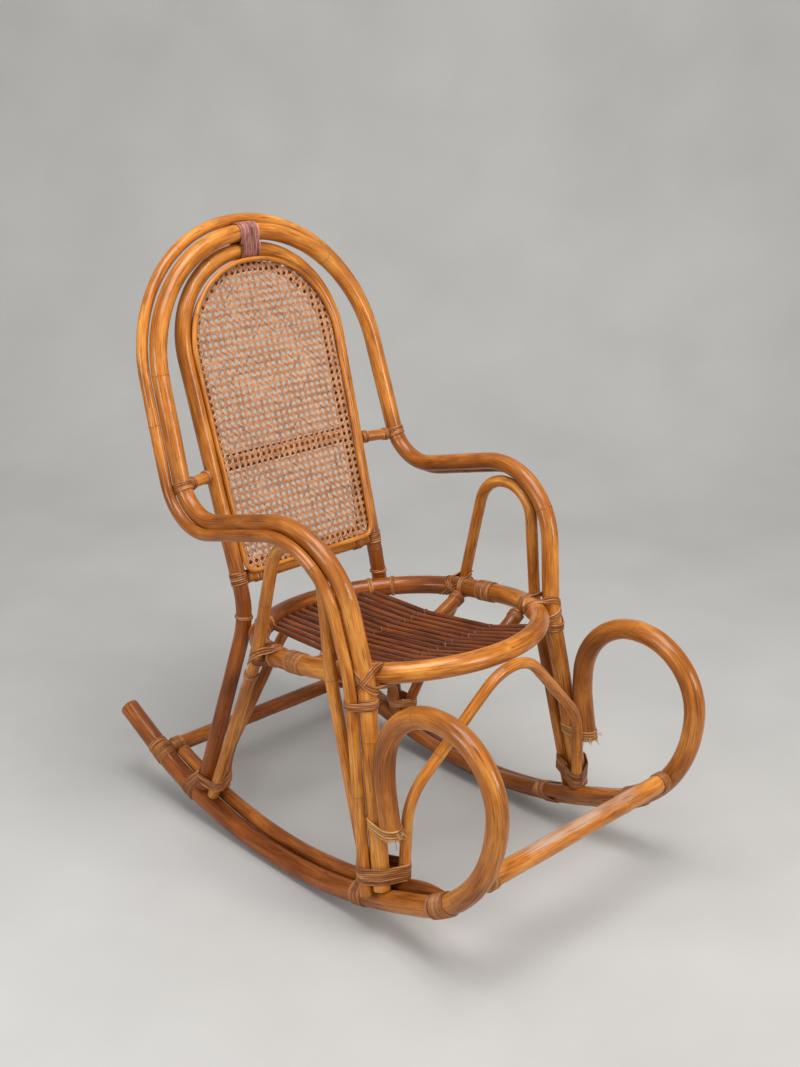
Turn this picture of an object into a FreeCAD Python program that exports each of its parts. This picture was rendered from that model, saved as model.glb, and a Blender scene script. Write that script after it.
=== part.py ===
import FreeCAD, Part
import math
import os

# Rattan rocking chair: bent poles, a caned back and split cane bindings.
# The front faces -Y, +Z is up and the origin is on the floor under the middle of the chair.

V = FreeCAD.Vector

SIZES = {
    # overall
    "overall_depth": (954, "front of the curls to the cut ends of the tails"),
    "clearance": (0.3, "gap left between two pieces that touch"),
    # poles
    "hoop_pole": (30, "diameter of the outer hoop"),
    "follower_pole": (20, "diameter of the second pole beside the hoop"),
    "arch_pole": (28, "diameter of the back arch"),
    "ring_pole": (34, "diameter of the seat ring"),
    "rocker_pole": (35, "diameter of the rockers"),
    "inner_pole": (25, "diameter of the inner rocker poles"),
    "side_pole": (21, "diameter of the side poles"),
    "brace_pole": (19, "diameter of the front and rear arches"),
    "foot_pole": (32, "diameter of the foot rail"),
    "stretcher_pole": (29, "diameter of the rear stretcher"),
    "rail_pole": (24, "diameter of the back rail"),
    "peg_pole": (20, "diameter of the spacer pegs"),
    "crossbar_pole": (25, "diameter of the seat crossbars"),
    "slat_pole": (10, "diameter of the seat slats"),
    "frame_pole": (16, "diameter of the pole that carries the cane"),
    "cane_rail_pole": (18, "diameter of the bar behind the cane"),
    "bead_pole": (9, "diameter of the bead round the cane"),
    "cane_thickness": (2, "thickness of the woven cane"),
    # rockers
    "rocker_track": (478, "distance between the two rockers"),
    "rocker_radius": (850, "radius of the part that rolls"),
    "rocker_low": (34, "where the rockers touch the floor, along Y"),
    "rocker_rear_angle": (20.5, "slope where the rolling part ends at the rear"),
    "rocker_front_angle": (20, "slope where the rolling part ends at the front"),
    "tail_angle": (27, "slope of the straight tail"),
    "tail_blend": (150, "bend radius between the rolling part and the tail"),
    "curl_top": (416, "height of the top of the curl, on its centre line"),
    "curl_width": (234, "width of the curl, on its centre line"),
    "curl_toe_radius": (225, "bend where the curl leaves the rolling part"),
    "curl_head_radius": (115, "bend at the top of the curl"),
    "curl_neck": (270, "height where the curl's end turns along the leg"),
    "curl_end": (178, "height of the curl's cut end"),
    "curl_neck_radius": (150, "bend of the curl's end"),
    "inner_side": (26.4, "inner rocker pole: how far inside the rocker"),
    "inner_front": (-292, "front end of the inner rocker poles, along Y"),
    "inner_bend": (835, "bend of the inner rocker poles"),
    # seat
    "seat_height": (394, "height of the ring at its centre"),
    "seat_y": (-28, "place of the ring's centre along Y"),
    "seat_tilt": (8, "the ring is higher at the front by this angle"),
    "ring_radius": (226, "bend of the ring's two half circles"),
    "ring_side_run": (42, "straight run between the half circles"),
    "rear_crossbar_at": (75, "rear crossbar, from the ring's centre"),
    "front_crossbar_at": (-84, "front crossbar, from the ring's centre"),
    "crossbar_drop": (38, "middle of the crossbars below the ring's plane"),
    "crossbar_end_drop": (12, "ends of the crossbars below the ring's plane"),
    "crossbar_flat": (145, "half of the level part of the crossbars"),
    "crossbar_bend": (60, "bend of the crossbars"),
    "slat_count": (14, "number of slats"),
    "slat_spread": (240, "distance between the outermost slats"),
    "slat_end_drop": (4, "ends of the slats below the ring's plane"),
    "slat_bend": (30, "bend of the slats over the crossbars"),
    # outer hoop
    "hoop_top": (1012, "height of the top of the hoop"),
    "hoop_top_y": (390, "place of the top of the hoop along Y"),
    "hoop_lean": (18.6, "lean of the back part of the hoop"),
    "hoop_shoulder": (232, "half width at the shoulders"),
    "hoop_shoulder_radius": (235, "bend of the shoulders"),
    "arm_half_width": (249, "half width at the arms"),
    "arm_dip": (569, "height of the corner where the back turns into the arm"),
    "arm_dip_radius": (80, "bend there"),
    "arm_front": (665, "height of the corner where the arm turns into the leg"),
    "arm_front_y": (-116, "place of that corner along Y"),
    "arm_front_radius": (135, "bend there"),
    "leg_ring_y": (-162, "place of the leg beside the ring, along Y"),
    "leg_ring_radius": (260, "bend of the leg beside the ring"),
    "leg_foot_x": (245, "place of the leg's foot across"),
    "leg_foot_y": (-229, "place of the leg's foot along Y"),
    "follower_turn": (35, "how far behind the hoop the follower lies, as an angle"),
    "follower_foot": (72, "height of the follower's lower ends"),
    # back arch and rear legs
    "arch_top": (980, "height of the top of the arch"),
    "arch_top_y": (393, "place of the top of the arch along Y"),
    "arch_lean": (17.3, "lean of the arch"),
    "arch_shoulder": (176, "half width at the shoulders"),
    "arch_shoulder_radius": (164, "bend of the shoulders"),
    "post_angle": (39.5, "where the arch passes the ring, round from its rear"),
    "post_bend": (200, "bend of the arch above the ring"),
    "rear_foot_x": (240.5, "place of the rear leg's foot across"),
    "rear_foot_y": (240, "place of the rear leg's foot along Y"),
    "back_rail_height": (449, "height of the back rail"),
    "cane_rail_height": (640, "height of the bar behind the cane"),
    "peg_height": (628, "height of the spacer pegs"),
    "frame_corner": (20, "bend of the cane frame's lower corners"),
    # side poles
    "loop_half_width": (243, "half width of the loops under the arms"),
    "loop_top": (601, "height of the loop under the arm"),
    "loop_rear_y": (22, "rear corner of the loop along Y"),
    "loop_front_y": (-82, "front corner of the loop along Y"),
    "loop_radius": (60, "bend of the loop"),
    "side_rear_at": (101, "rear ring contact, from the ring's centre"),
    "side_front_at": (-78, "front ring contact, from the ring's centre"),
    "side_bend": (150, "bend of the side poles beside the ring"),
    # front and rear arches
    "brace_knee": (206, "half width of the arches at the knees"),
    "brace_foot": (213, "half width of the arches at the feet"),
    "brace_radius": (84, "bend at the top of the arches"),
    "brace_knee_radius": (110, "bend of the knees"),
    "front_brace_slope": (45, "slope of the front arch's flanks"),
    "front_brace_angle": (41, "front arch below the ring's front, as an angle"),
    "front_brace_foot_y": (-246, "front arch's feet along Y"),
    "rear_brace_slope": (50, "slope of the rear arch's flanks"),
    "rear_brace_foot_y": (213, "rear arch's feet along Y"),
    # rails between the rockers
    "foot_rail_height": (176, "height of the foot rail"),
    "stretcher_y": (366, "place of the rear stretcher along Y"),
    # bindings
    "binding_thickness": (1.5, "thickness of a binding"),
    "strand": (3, "diameter of the strand of the top binding"),
    "strand_pitch": (3.7, "step from turn to turn of the top binding"),
    "top_turns": (11, "turns of the top binding"),
    "binding_slack": (0.6, "room for the bend of the poles in the top binding"),
    "short_wrap": (10, "length of a short binding"),
    "medium_wrap": (18, "length of a medium binding"),
    "long_wrap": (36, "length of a long binding"),
    "curl_wrap_turn": (16, "angle of the curl that its binding covers"),
    "curl_wrap_at": (32, "slope of the curl at the middle of its binding"),
    "front_strap_y": (-176, "strap round the rocker behind the front leg"),
    "rear_strap_y": (270, "strap round the rocker behind the rear leg"),
    "foot_wrap_height": (88, "middle height of the wraps round the feet"),
}

doc = FreeCAD.newDocument("rattan_rocking_chair")
sheet = doc.addObject("Spreadsheet::Sheet", "sizes")
for row, (alias, (value, meaning)) in enumerate(SIZES.items(), start=1):
    sheet.set("A%d" % row, meaning)
    sheet.set("B%d" % row, str(value))
    sheet.setAlias("B%d" % row, alias)
doc.recompute()


def size(alias):
    return float(sheet.get(alias))


def radius(alias):
    return size(alias) / 2


def sine(angle):
    return math.sin(math.radians(angle))


def cosine(angle):
    return math.cos(math.radians(angle))


def tangent(angle):
    return math.tan(math.radians(angle))


gap = size("clearance")
wall = size("binding_thickness")
nodes = []


# Geometry helpers

def bent_path(points, radii, closed=False):
    """A wire of straight runs joined by tangent arcs, with one bend radius for each corner."""
    count = len(points)
    corners = range(count) if closed else range(1, count - 1)
    runs = count if closed else count - 1
    tangents = [0.0] * count
    for corner, bend in zip(corners, radii):
        back = (points[corner - 1] - points[corner]).normalize()
        ahead = (points[(corner + 1) % count] - points[corner]).normalize()
        half = back.getAngle(ahead) / 2
        tangents[corner] = bend / math.tan(half)
    for run in range(runs):
        following = (run + 1) % count
        length = (points[following] - points[run]).Length
        wanted = tangents[run] + tangents[following]
        if wanted > length:
            tangents[run] *= length / wanted
            tangents[following] *= length / wanted
    edges = []
    start = points[0]
    if closed:
        start = points[0] + (points[1] - points[0]).normalize() * tangents[0]
    here = start
    order = list(range(1, count)) + [0] if closed else list(range(1, count - 1))
    for corner in order:
        back = (points[corner - 1] - points[corner]).normalize()
        ahead = (points[(corner + 1) % count] - points[corner]).normalize()
        half = back.getAngle(ahead) / 2
        first = points[corner] + back * tangents[corner]
        last = points[corner] + ahead * tangents[corner]
        bisector = (back + ahead).normalize()
        bend = tangents[corner] * math.tan(half)
        middle = points[corner] + bisector * (bend / math.sin(half) - bend)
        if (first - here).Length > 0.01:
            edges.append(Part.LineSegment(here, first).toShape())
        else:
            first = here
        edges.append(Part.Arc(first, middle, last).toShape())
        here = last
    finish = start if closed else points[-1]
    if (finish - here).Length > 0.01:
        edges.append(Part.LineSegment(here, finish).toShape())
    return Part.Wire(edges)


def offset_side(points, distance):
    """Side view corners (y, z) moved to the right of the way they run, by the same distance everywhere."""
    lines = []
    for (y0, z0), (y1, z1) in zip(points, points[1:]):
        length = math.hypot(y1 - y0, z1 - z0)
        normal = ((z1 - z0) / length, -(y1 - y0) / length)
        lines.append((y0 + normal[0] * distance, z0 + normal[1] * distance, (y1 - y0) / length, (z1 - z0) / length))
    moved = [(lines[0][0], lines[0][1])]
    for (y0, z0, dy0, dz0), (y1, z1, dy1, dz1) in zip(lines, lines[1:]):
        along = ((y1 - y0) * dz1 - (z1 - z0) * dy1) / (dy0 * dz1 - dz0 * dy1)
        moved.append((y0 + along * dy0, z0 + along * dz0))
    length = math.hypot(points[-1][0] - points[-2][0], points[-1][1] - points[-2][1])
    y0, z0, dy0, dz0 = lines[-1]
    moved.append((y0 + dy0 * length, z0 + dz0 * length))
    return moved


def bend_room(before, corner, after, bend, away=0.0):
    """How far a bend leaves the straight line, at a point that is away from its corner along the run."""
    half = (before - corner).getAngle(after - corner) / 2
    if away == 0.0:
        return bend / math.sin(half) - bend
    inside = max(bend / math.tan(half) - away, 0.0)
    return inside ** 2 / (2 * bend)


def mirrored(points):
    return [V(-p.x, p.y, p.z) for p in points]


def there_and_back(points):
    """Right half from foot to middle, then the left half from middle to foot."""
    return points + mirrored(points)[::-1]


# The seat's own plane: across, along (to the rear) and up from the ring's centre

def seat_point(across, along, up=0.0):
    tilt = size("seat_tilt")
    return V(
        across,
        size("seat_y") + along * cosine(tilt) + up * sine(tilt),
        size("seat_height") - along * sine(tilt) + up * cosine(tilt),
    )


def seat_along(y):
    """Distance along the seat's plane for a place along Y."""
    return (y - size("seat_y")) / cosine(size("seat_tilt"))


def ring_centre(along):
    """Where the ring's nearest half circle, or the straight run, has its centre."""
    return min(max(along, 0.0), size("ring_side_run"))


def ring_across(along, reach):
    """How far out a point lies that is the given reach outside the ring's centre line."""
    rest = along - ring_centre(along)
    return math.sqrt((size("ring_radius") + reach) ** 2 - rest ** 2)


def seat_reach(outward, travel, reach):
    """Distance between two crossing poles' axes along outward, so that they are reach apart at their nearest."""
    tilt = size("seat_tilt")
    normal = V(0, sine(tilt), cosine(tilt))
    ring_way = outward.cross(normal)
    common = ring_way.cross(travel)
    return reach * common.Length / abs(outward.dot(common))


# The rockers' side view

rocker_r = radius("rocker_pole")
rocker_x = size("rocker_track") / 2
roll_centre = (size("rocker_low"), rocker_r + size("rocker_radius"))


def rocker_height(y):
    """Height of the rolling part's centre line."""
    return roll_centre[1] - math.sqrt(size("rocker_radius") ** 2 - (y - roll_centre[0]) ** 2)


def rocker_slope(y):
    rest = y - roll_centre[0]
    return rest / math.sqrt(size("rocker_radius") ** 2 - rest ** 2)


def foot_on(pole_radius, crest_radius, y, travel, lift=0.0):
    """Height of the middle of a foot's cut end that stands on a rocker pole's crest."""
    lean_y = travel.y / travel.z
    lean_x = travel.x / travel.z
    slope = rocker_slope(y)
    crest = rocker_height(y) + (lift + crest_radius) * math.hypot(1, slope)
    tilt_room = pole_radius * abs(lean_y + slope)
    side_room = crest_radius * (math.hypot(1, lean_x) - 1)
    return crest + tilt_room + side_room + 2 * gap


# Making the pieces

def along_z(start, direction):
    return FreeCAD.Placement(start, FreeCAD.Rotation(V(0, 0, 1), direction))


def add_bent(name, diameter, wire, sides=0):
    """A pole along a bent wire, of round section or with a number of flat sides."""
    path = doc.addObject("Part::Feature", name + "_path")
    path.Shape = wire
    first = wire.OrderedEdges[0]
    if sides:
        section = doc.addObject("Part::RegularPolygon", name + "_section")
        section.Polygon = sides
        section.setExpression("Circumradius", "sizes.%s / 2" % diameter)
    else:
        section = doc.addObject("Part::Circle", name + "_section")
        section.setExpression("Radius", "sizes.%s / 2" % diameter)
    section.Placement = along_z(first.valueAt(first.FirstParameter), first.tangentAt(first.FirstParameter))
    pole = doc.addObject("Part::Sweep", name)
    pole.Sections = [section]
    pole.Spine = (path, ["Edge%d" % (i + 1) for i in range(len(wire.Edges))])
    pole.Solid = True
    pole.Frenet = False
    pole.Label = name
    nodes.append(pole)
    return pole


def add_straight(name, diameter, start, end):
    """A straight pole between two points."""
    pole = doc.addObject("Part::Cylinder", name)
    pole.setExpression("Radius", "sizes.%s / 2" % diameter)
    pole.Height = (end - start).Length
    pole.Placement = along_z(start, end - start)
    pole.Label = name
    nodes.append(pole)
    return pole


def sleeve(name, diameter, middle, direction, length):
    """A wrap round one straight stretch of pole."""
    way = V(direction).normalize()
    start = middle - way * (size(length) / 2)
    shells = []
    for part, extra in (("outside", "sizes.clearance + sizes.binding_thickness"), ("inside", "sizes.clearance")):
        shell = doc.addObject("Part::Cylinder", "%s_%s" % (name, part))
        shell.setExpression("Radius", "sizes.%s / 2 + %s" % (diameter, extra))
        shell.setExpression("Height", "sizes.%s" % length)
        shell.Placement = along_z(start, way)
        shells.append(shell)
    cut = doc.addObject("Part::Cut", name)
    cut.Base, cut.Tool = shells
    return cut


def belt_wire(circles, extra):
    """Outline of a belt drawn tight round circles (x, y, radius), each grown by extra."""
    rings = [(x, y, r + extra) for x, y, r in circles]
    steps = 720

    def outermost(angle):
        return max(range(len(rings)), key=lambda i: rings[i][0] * math.cos(angle) + rings[i][1] * math.sin(angle) + rings[i][2])

    changes = []
    for step in range(steps):
        low = 2 * math.pi * step / steps
        high = 2 * math.pi * (step + 1) / steps
        first, last = outermost(low), outermost(high)
        if first != last:
            for _ in range(50):
                mid = (low + high) / 2
                if outermost(mid) == first:
                    low = mid
                else:
                    high = mid
            changes.append((high, first, last))

    def at(i, angle):
        x, y, r = rings[i]
        return V(x + r * math.cos(angle), y + r * math.sin(angle), 0)

    edges = []
    for (angle, before, here), (turn, _, after) in zip(changes, changes[1:] + changes[:1]):
        if turn < angle:
            turn += 2 * math.pi
        edges.append(Part.LineSegment(at(before, angle), at(here, angle)).toShape())
        edges.append(Part.Arc(at(here, angle), at(here, (angle + turn) / 2), at(here, turn)).toShape())
    return Part.Wire(edges)


def belt(name, circles, placement, length):
    """A wrap drawn tight round a bundle of poles."""
    outlines = [belt_wire(circles, gap + wall), belt_wire(circles, gap)]
    ring_face = Part.makeFace(outlines, "Part::FaceMakerBullseye")
    piece = doc.addObject("Part::Feature", name)
    piece.Shape = ring_face.extrude(V(0, 0, length))
    piece.Placement = placement
    return piece


def add_group(name, pieces):
    group = doc.addObject("Part::Compound", name)
    group.Links = pieces
    group.Label = name
    nodes.append(group)
    return group


SIDES = (("left", 1), ("right", -1))


def on_side(point, side):
    return V(point.x * side, point.y, point.z)


# Outer hoop: foot, leg past the ring, arm, dip and shoulder

hoop_r = radius("hoop_pole")
hoop_up = V(0, sine(size("hoop_lean")), cosine(size("hoop_lean")))
shoulder = V(size("hoop_shoulder"), size("hoop_top_y"), size("hoop_top"))
dip = V(
    size("arm_half_width"),
    size("hoop_top_y") - tangent(size("hoop_lean")) * (size("hoop_top") - size("arm_dip")),
    size("arm_dip"),
)
arm_corner = V(size("arm_half_width"), size("arm_front_y"), size("arm_front"))
leg_along = seat_along(size("leg_ring_y"))
leg_foot = V(size("leg_foot_x"), size("leg_foot_y"), rocker_height(size("leg_foot_y")) + rocker_r)
leg_start = seat_point(ring_across(leg_along, radius("ring_pole") + hoop_r), leg_along)
leg_outward = (leg_start - seat_point(0, ring_centre(leg_along))).normalize()
leg_apart = seat_reach(leg_outward, leg_start - leg_foot, radius("ring_pole") + hoop_r + gap)
leg_ring = seat_point(0, ring_centre(leg_along)) + leg_outward * (size("ring_radius") + leg_apart)
leg_ring = leg_ring - leg_outward * bend_room(leg_foot, leg_ring, arm_corner, size("leg_ring_radius"))
leg_way = leg_ring - leg_foot
leg_foot.z = foot_on(hoop_r, rocker_r, leg_foot.y, leg_way)
hoop_half = [leg_foot, leg_ring, arm_corner, dip, shoulder]
hoop_bends = [size(n) for n in ("leg_ring_radius", "arm_front_radius", "arm_dip_radius", "hoop_shoulder_radius")]
add_bent("outer_hoop", "hoop_pole", bent_path(there_and_back(hoop_half), hoop_bends + hoop_bends[::-1]))

# Follower: the same route, outboard of the hoop and turned a little behind and below it

follower_apart = hoop_r + radius("follower_pole") + 2 * gap
outboard = follower_apart * cosine(size("follower_turn"))
behind = follower_apart * sine(size("follower_turn"))
top_rise = size("strand") + 4 * gap
side_view = offset_side([(p.y, p.z) for p in hoop_half], behind)
follower_half = [V(p.x + outboard, y, z) for p, (y, z) in zip(hoop_half, side_view)]
follower_half[-1] = follower_half[-1] + hoop_up * (outboard + top_rise)
foot_share = (size("follower_foot") - follower_half[0].z) / (follower_half[1].z - follower_half[0].z)
follower_half[0] = follower_half[0] + (follower_half[1] - follower_half[0]) * foot_share
follower_turns = (1, -1, 1, 0)
follower_bends = [bend + turn * behind for bend, turn in zip(hoop_bends, follower_turns)]
follower_bends[-1] += outboard
add_bent(
    "hoop_follower",
    "follower_pole",
    bent_path(there_and_back(follower_half), follower_bends + follower_bends[::-1]),
)

# Back arch with the rear legs

arch_r = radius("arch_pole")
arch_up = V(0, sine(size("arch_lean")), cosine(size("arch_lean")))
arch_front = V(0, -cosine(size("arch_lean")), sine(size("arch_lean")))
arch_middle = V(0, size("arch_top_y"), size("arch_top"))


def arch_point(across, down, front=0.0):
    """A point of the arch's plane, measured down from its top, or in front of it."""
    return arch_middle + V(across, 0, 0) - arch_up * down + arch_front * front


post_outward = seat_point(sine(size("post_angle")), cosine(size("post_angle"))) - seat_point(0, 0)
post_centre = seat_point(0, size("ring_side_run"))
rear_foot = V(size("rear_foot_x"), size("rear_foot_y"), rocker_height(size("rear_foot_y")) + rocker_r)
post_start = post_centre + post_outward * (size("ring_radius") + radius("ring_pole") + arch_r)
post_apart = seat_reach(post_outward, post_start - rear_foot, radius("ring_pole") + arch_r + gap)
post_ring = post_centre + post_outward * (size("ring_radius") + post_apart)
rear_foot.z = foot_on(arch_r, rocker_r, rear_foot.y, post_ring - rear_foot)


def waist_above(ring_point):
    """Corner where the line of the rear leg meets the arch's plane."""
    way = ring_point - rear_foot
    return ring_point + way * ((arch_middle - ring_point).dot(arch_front) / way.dot(arch_front))


waist = waist_above(post_ring)
arch_corner = arch_point(size("arch_shoulder"), 0)
post_room = bend_room(rear_foot, waist, arch_corner, size("post_bend"), (waist - post_ring).Length)
post_ring = post_ring - post_outward * post_room
waist = waist_above(post_ring)
waist_down = (arch_middle - waist).dot(arch_up)
arch_half = [rear_foot, waist, arch_corner]
arch_bends = [size("post_bend"), size("arch_shoulder_radius")]
add_bent("back_arch", "arch_pole", bent_path(there_and_back(arch_half), arch_bends + arch_bends[::-1]))


def arch_side(down):
    """Half width of the arch's straight sides."""
    return size("arch_shoulder") + (waist.x - size("arch_shoulder")) * down / waist_down


def height_down(height):
    """Distance down the arch's plane for a height."""
    return (size("arch_top") - height) / cosine(size("arch_lean"))


# Back rail, and the cane with its frame, bar and bead, all in the arch's plane

rail_r = radius("rail_pole")
rail_down = height_down(size("back_rail_height"))
rail_half = arch_side(rail_down) - arch_r - wall - 4 * gap
add_straight("back_rail", "rail_pole", arch_point(-rail_half, rail_down), arch_point(rail_half, rail_down))

side_lean = math.hypot(1, (size("arch_shoulder") - waist.x) / waist_down)


def inner_outline(inset, bottom_down, front):
    """Corners of a closed loop inside the arch, with room for the top binding at its crown."""
    corners = []
    top_down = inset + crown_room
    for side, down in ((1, bottom_down), (1, top_down), (-1, top_down), (-1, bottom_down)):
        corners.append(arch_point(side * (arch_side(down) - inset * side_lean), down, front))
    return corners


def inner_bends(inset):
    head = size("arch_shoulder_radius") - inset
    return [size("frame_corner"), head, head, size("frame_corner")]


frame_r = radius("frame_pole")
cane_back = frame_r + gap
cane_front = cane_back + size("cane_thickness")
bead_r = radius("bead_pole")
bead_front = cane_front + bead_r + gap
bead_inset = math.sqrt(max((arch_r + bead_r + gap) ** 2 - bead_front ** 2, bead_r ** 2)) + gap
binding_reach = max(hoop_r, arch_r) + size("strand") + size("binding_slack") + bead_r + 3 * gap
crown_room = math.sqrt(max(binding_reach ** 2 - bead_front ** 2, bead_inset ** 2)) - bead_inset
frame_inset = arch_r + frame_r + gap
frame_down = rail_down - rail_r - frame_r - gap
frame_wire = bent_path(inner_outline(frame_inset, frame_down, 0), inner_bends(frame_inset), closed=True)
add_bent("cane_frame", "frame_pole", frame_wire)

cane_rail_down = height_down(size("cane_rail_height"))
cane_rail_front = frame_r - radius("cane_rail_pole")
cane_rail_half = arch_side(cane_rail_down) - frame_inset * side_lean - frame_r - 2 * gap
add_straight(
    "cane_rail",
    "cane_rail_pole",
    arch_point(-cane_rail_half, cane_rail_down, cane_rail_front),
    arch_point(cane_rail_half, cane_rail_down, cane_rail_front),
)

cane_inset = math.sqrt(arch_r ** 2 - cane_back ** 2) + 2 * gap
cane_down = rail_down - math.sqrt(rail_r ** 2 - cane_back ** 2) - 2 * gap
cane_wire = bent_path(inner_outline(cane_inset, cane_down, cane_back), inner_bends(cane_inset), closed=True)
cane = doc.addObject("Part::Feature", "cane_panel")
cane.Shape = Part.Face(cane_wire).extrude(arch_front * size("cane_thickness"))
cane.Label = "cane_panel"
nodes.append(cane)

bead_down = rail_down - math.sqrt(max((rail_r + bead_r + gap) ** 2 - bead_front ** 2, bead_r ** 2)) - gap
bead_wire = bent_path(inner_outline(bead_inset, bead_down, bead_front), inner_bends(bead_inset), closed=True)
add_bent("cane_bead", "bead_pole", bead_wire)

# Spacer pegs between the hoop and the arch

peg_r = radius("peg_pole")
peg_down = height_down(size("peg_height"))
peg_inner = arch_point(arch_side(peg_down), peg_down)
peg_share = (size("hoop_top") - size("peg_height")) / (size("hoop_top") - size("arm_dip"))
peg_outer = shoulder + (dip - shoulder) * peg_share
peg_way = (peg_outer - peg_inner).normalize()
peg_start = peg_inner + peg_way * (arch_r + 3 * gap)
peg_end = peg_outer - peg_way * (hoop_r + 5 * gap)
for side_name, side in SIDES:
    add_straight(side_name + "_peg", "peg_pole", on_side(peg_start, side), on_side(peg_end, side))

# Seat ring

ring_r = radius("ring_pole")
ring_corners = [
    seat_point(size("ring_radius") * across, along)
    for across, along in (
        (1, size("ring_side_run") + size("ring_radius")),
        (-1, size("ring_side_run") + size("ring_radius")),
        (-1, -size("ring_radius")),
        (1, -size("ring_radius")),
    )
]
ring_wire = bent_path(ring_corners, [size("ring_radius")] * len(ring_corners), closed=True)
add_bent("seat_ring", "ring_pole", ring_wire)

def butt_inside(room, pole_radius, drop, climb):
    """How far out a rising pole reaches before its cut end meets the ring's inner side."""
    reaches = []
    for step in range(-20, 21):
        across_end = pole_radius * step / 20
        height = across_end * math.cos(climb) - drop
        if abs(height) < ring_r:
            face = room + ring_r - math.sqrt(ring_r ** 2 - height ** 2)
            reaches.append(face + across_end * math.sin(climb))
    return min(reaches) - gap


# Crossbars: level in the middle, rising to the ring at both ends

crossbar_r = radius("crossbar_pole")
CROSSBARS = (("rear_crossbar", "rear_crossbar_at"), ("front_crossbar", "front_crossbar_at"))
crossbar_ends = []
for name, place in CROSSBARS:
    along = size(place)
    rest = abs(along - ring_centre(along)) + crossbar_r
    room = math.sqrt((size("ring_radius") - ring_r) ** 2 - rest ** 2)
    climb = math.atan2(size("crossbar_drop") - size("crossbar_end_drop"), room - size("crossbar_flat"))
    across = butt_inside(room, crossbar_r, size("crossbar_end_drop"), climb)
    half = [
        seat_point(across, along, -size("crossbar_end_drop")),
        seat_point(size("crossbar_flat"), along, -size("crossbar_drop")),
    ]
    add_bent(name, "crossbar_pole", bent_path(there_and_back(half), [size("crossbar_bend")] * 2))
    crossbar_ends.append(half)

# Slats: they bend over the crossbars and end inside the ring

slat_r = radius("slat_pole")
slat_drop = size("crossbar_drop") - crossbar_r - slat_r - gap
slat_count = int(size("slat_count"))
for index in range(slat_count):
    across = size("slat_spread") * (index / (slat_count - 1) - 0.5)
    room = math.sqrt((size("ring_radius") - ring_r) ** 2 - (abs(across) + slat_r) ** 2)
    rise = slat_drop - size("slat_end_drop")
    rear_run = room + size("ring_side_run") - size("rear_crossbar_at")
    front_run = room + size("front_crossbar_at")
    rear_end = butt_inside(room, slat_r, size("slat_end_drop"), math.atan2(rise, rear_run))
    front_end = butt_inside(room, slat_r, size("slat_end_drop"), math.atan2(rise, front_run))
    corners = [
        seat_point(across, size("ring_side_run") + rear_end, -size("slat_end_drop")),
        seat_point(across, size("rear_crossbar_at"), -slat_drop),
        seat_point(across, size("front_crossbar_at"), -slat_drop),
        seat_point(across, -front_end, -size("slat_end_drop")),
    ]
    add_bent("slat_%02d" % (index + 1), "slat_pole", bent_path(corners, [size("slat_bend")] * 2))

# Side poles: rear foot, past the ring, loop under the arm, past the ring again, front foot

side_r = radius("side_pole")


def beside_ring(along, foot):
    """Where a side pole's axis passes outside the ring, on its way from its foot."""
    centre = seat_point(0, ring_centre(along))
    rough = seat_point(ring_across(along, ring_r + side_r), along)
    outward = (rough - centre).normalize()
    apart = seat_reach(outward, rough - foot, ring_r + side_r + gap)
    return centre + outward * (size("ring_radius") + apart)


rear_reach = arch_r + side_r + gap
side_rear_foot = V(rocker_x, size("rear_foot_y") - rear_reach, 0)
side_rear_foot.z = rocker_height(side_rear_foot.y) + rocker_r
side_front_foot = V(size("leg_foot_x"), size("leg_foot_y") + hoop_r + side_r + 4 * gap, 0)
side_front_foot.z = rocker_height(side_front_foot.y) + rocker_r
side_rear_ring = beside_ring(size("side_rear_at"), side_rear_foot)
side_front_ring = beside_ring(size("side_front_at"), side_front_foot)
side_rear_foot.z = foot_on(side_r, rocker_r, side_rear_foot.y, side_rear_ring - side_rear_foot)
side_front_foot.z = foot_on(side_r, rocker_r, side_front_foot.y, side_front_ring - side_front_foot)
side_route = [
    side_rear_foot,
    side_rear_ring,
    V(size("loop_half_width"), size("loop_rear_y"), size("loop_top")),
    V(size("loop_half_width"), size("loop_front_y"), size("loop_top")),
    side_front_ring,
    side_front_foot,
]
side_bends = [size("side_bend"), size("loop_radius"), size("loop_radius"), size("side_bend")]
for side_name, side in SIDES:
    add_bent(side_name + "_side_pole", "side_pole", bent_path([on_side(p, side) for p in side_route], side_bends))

# Rockers: straight tail, rolling part and a curl whose end lies along the front leg

rear_tangent = (
    roll_centre[0] + size("rocker_radius") * sine(size("rocker_rear_angle")),
    roll_centre[1] - size("rocker_radius") * cosine(size("rocker_rear_angle")),
)
front_tangent = (
    roll_centre[0] - size("rocker_radius") * sine(size("rocker_front_angle")),
    roll_centre[1] - size("rocker_radius") * cosine(size("rocker_front_angle")),
)
roll_half = (size("rocker_rear_angle") + size("rocker_front_angle")) / 2
roll_skew = (size("rocker_rear_angle") - size("rocker_front_angle")) / 2
roll_corner = (
    roll_centre[0] + size("rocker_radius") / cosine(roll_half) * sine(roll_skew),
    roll_centre[1] - size("rocker_radius") / cosine(roll_half) * cosine(roll_skew),
)
blend_half = (size("tail_angle") - size("rocker_rear_angle")) / 2
tail_lead = size("tail_blend") * tangent(blend_half) + 1
tail_corner = (
    rear_tangent[0] + tail_lead * cosine(size("rocker_rear_angle")),
    rear_tangent[1] + tail_lead * sine(size("rocker_rear_angle")),
)
tail_end_y = size("overall_depth") / 2 - rocker_r * sine(size("tail_angle"))


def tail_height(y):
    return tail_corner[1] + tangent(size("tail_angle")) * (y - tail_corner[0])


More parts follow.
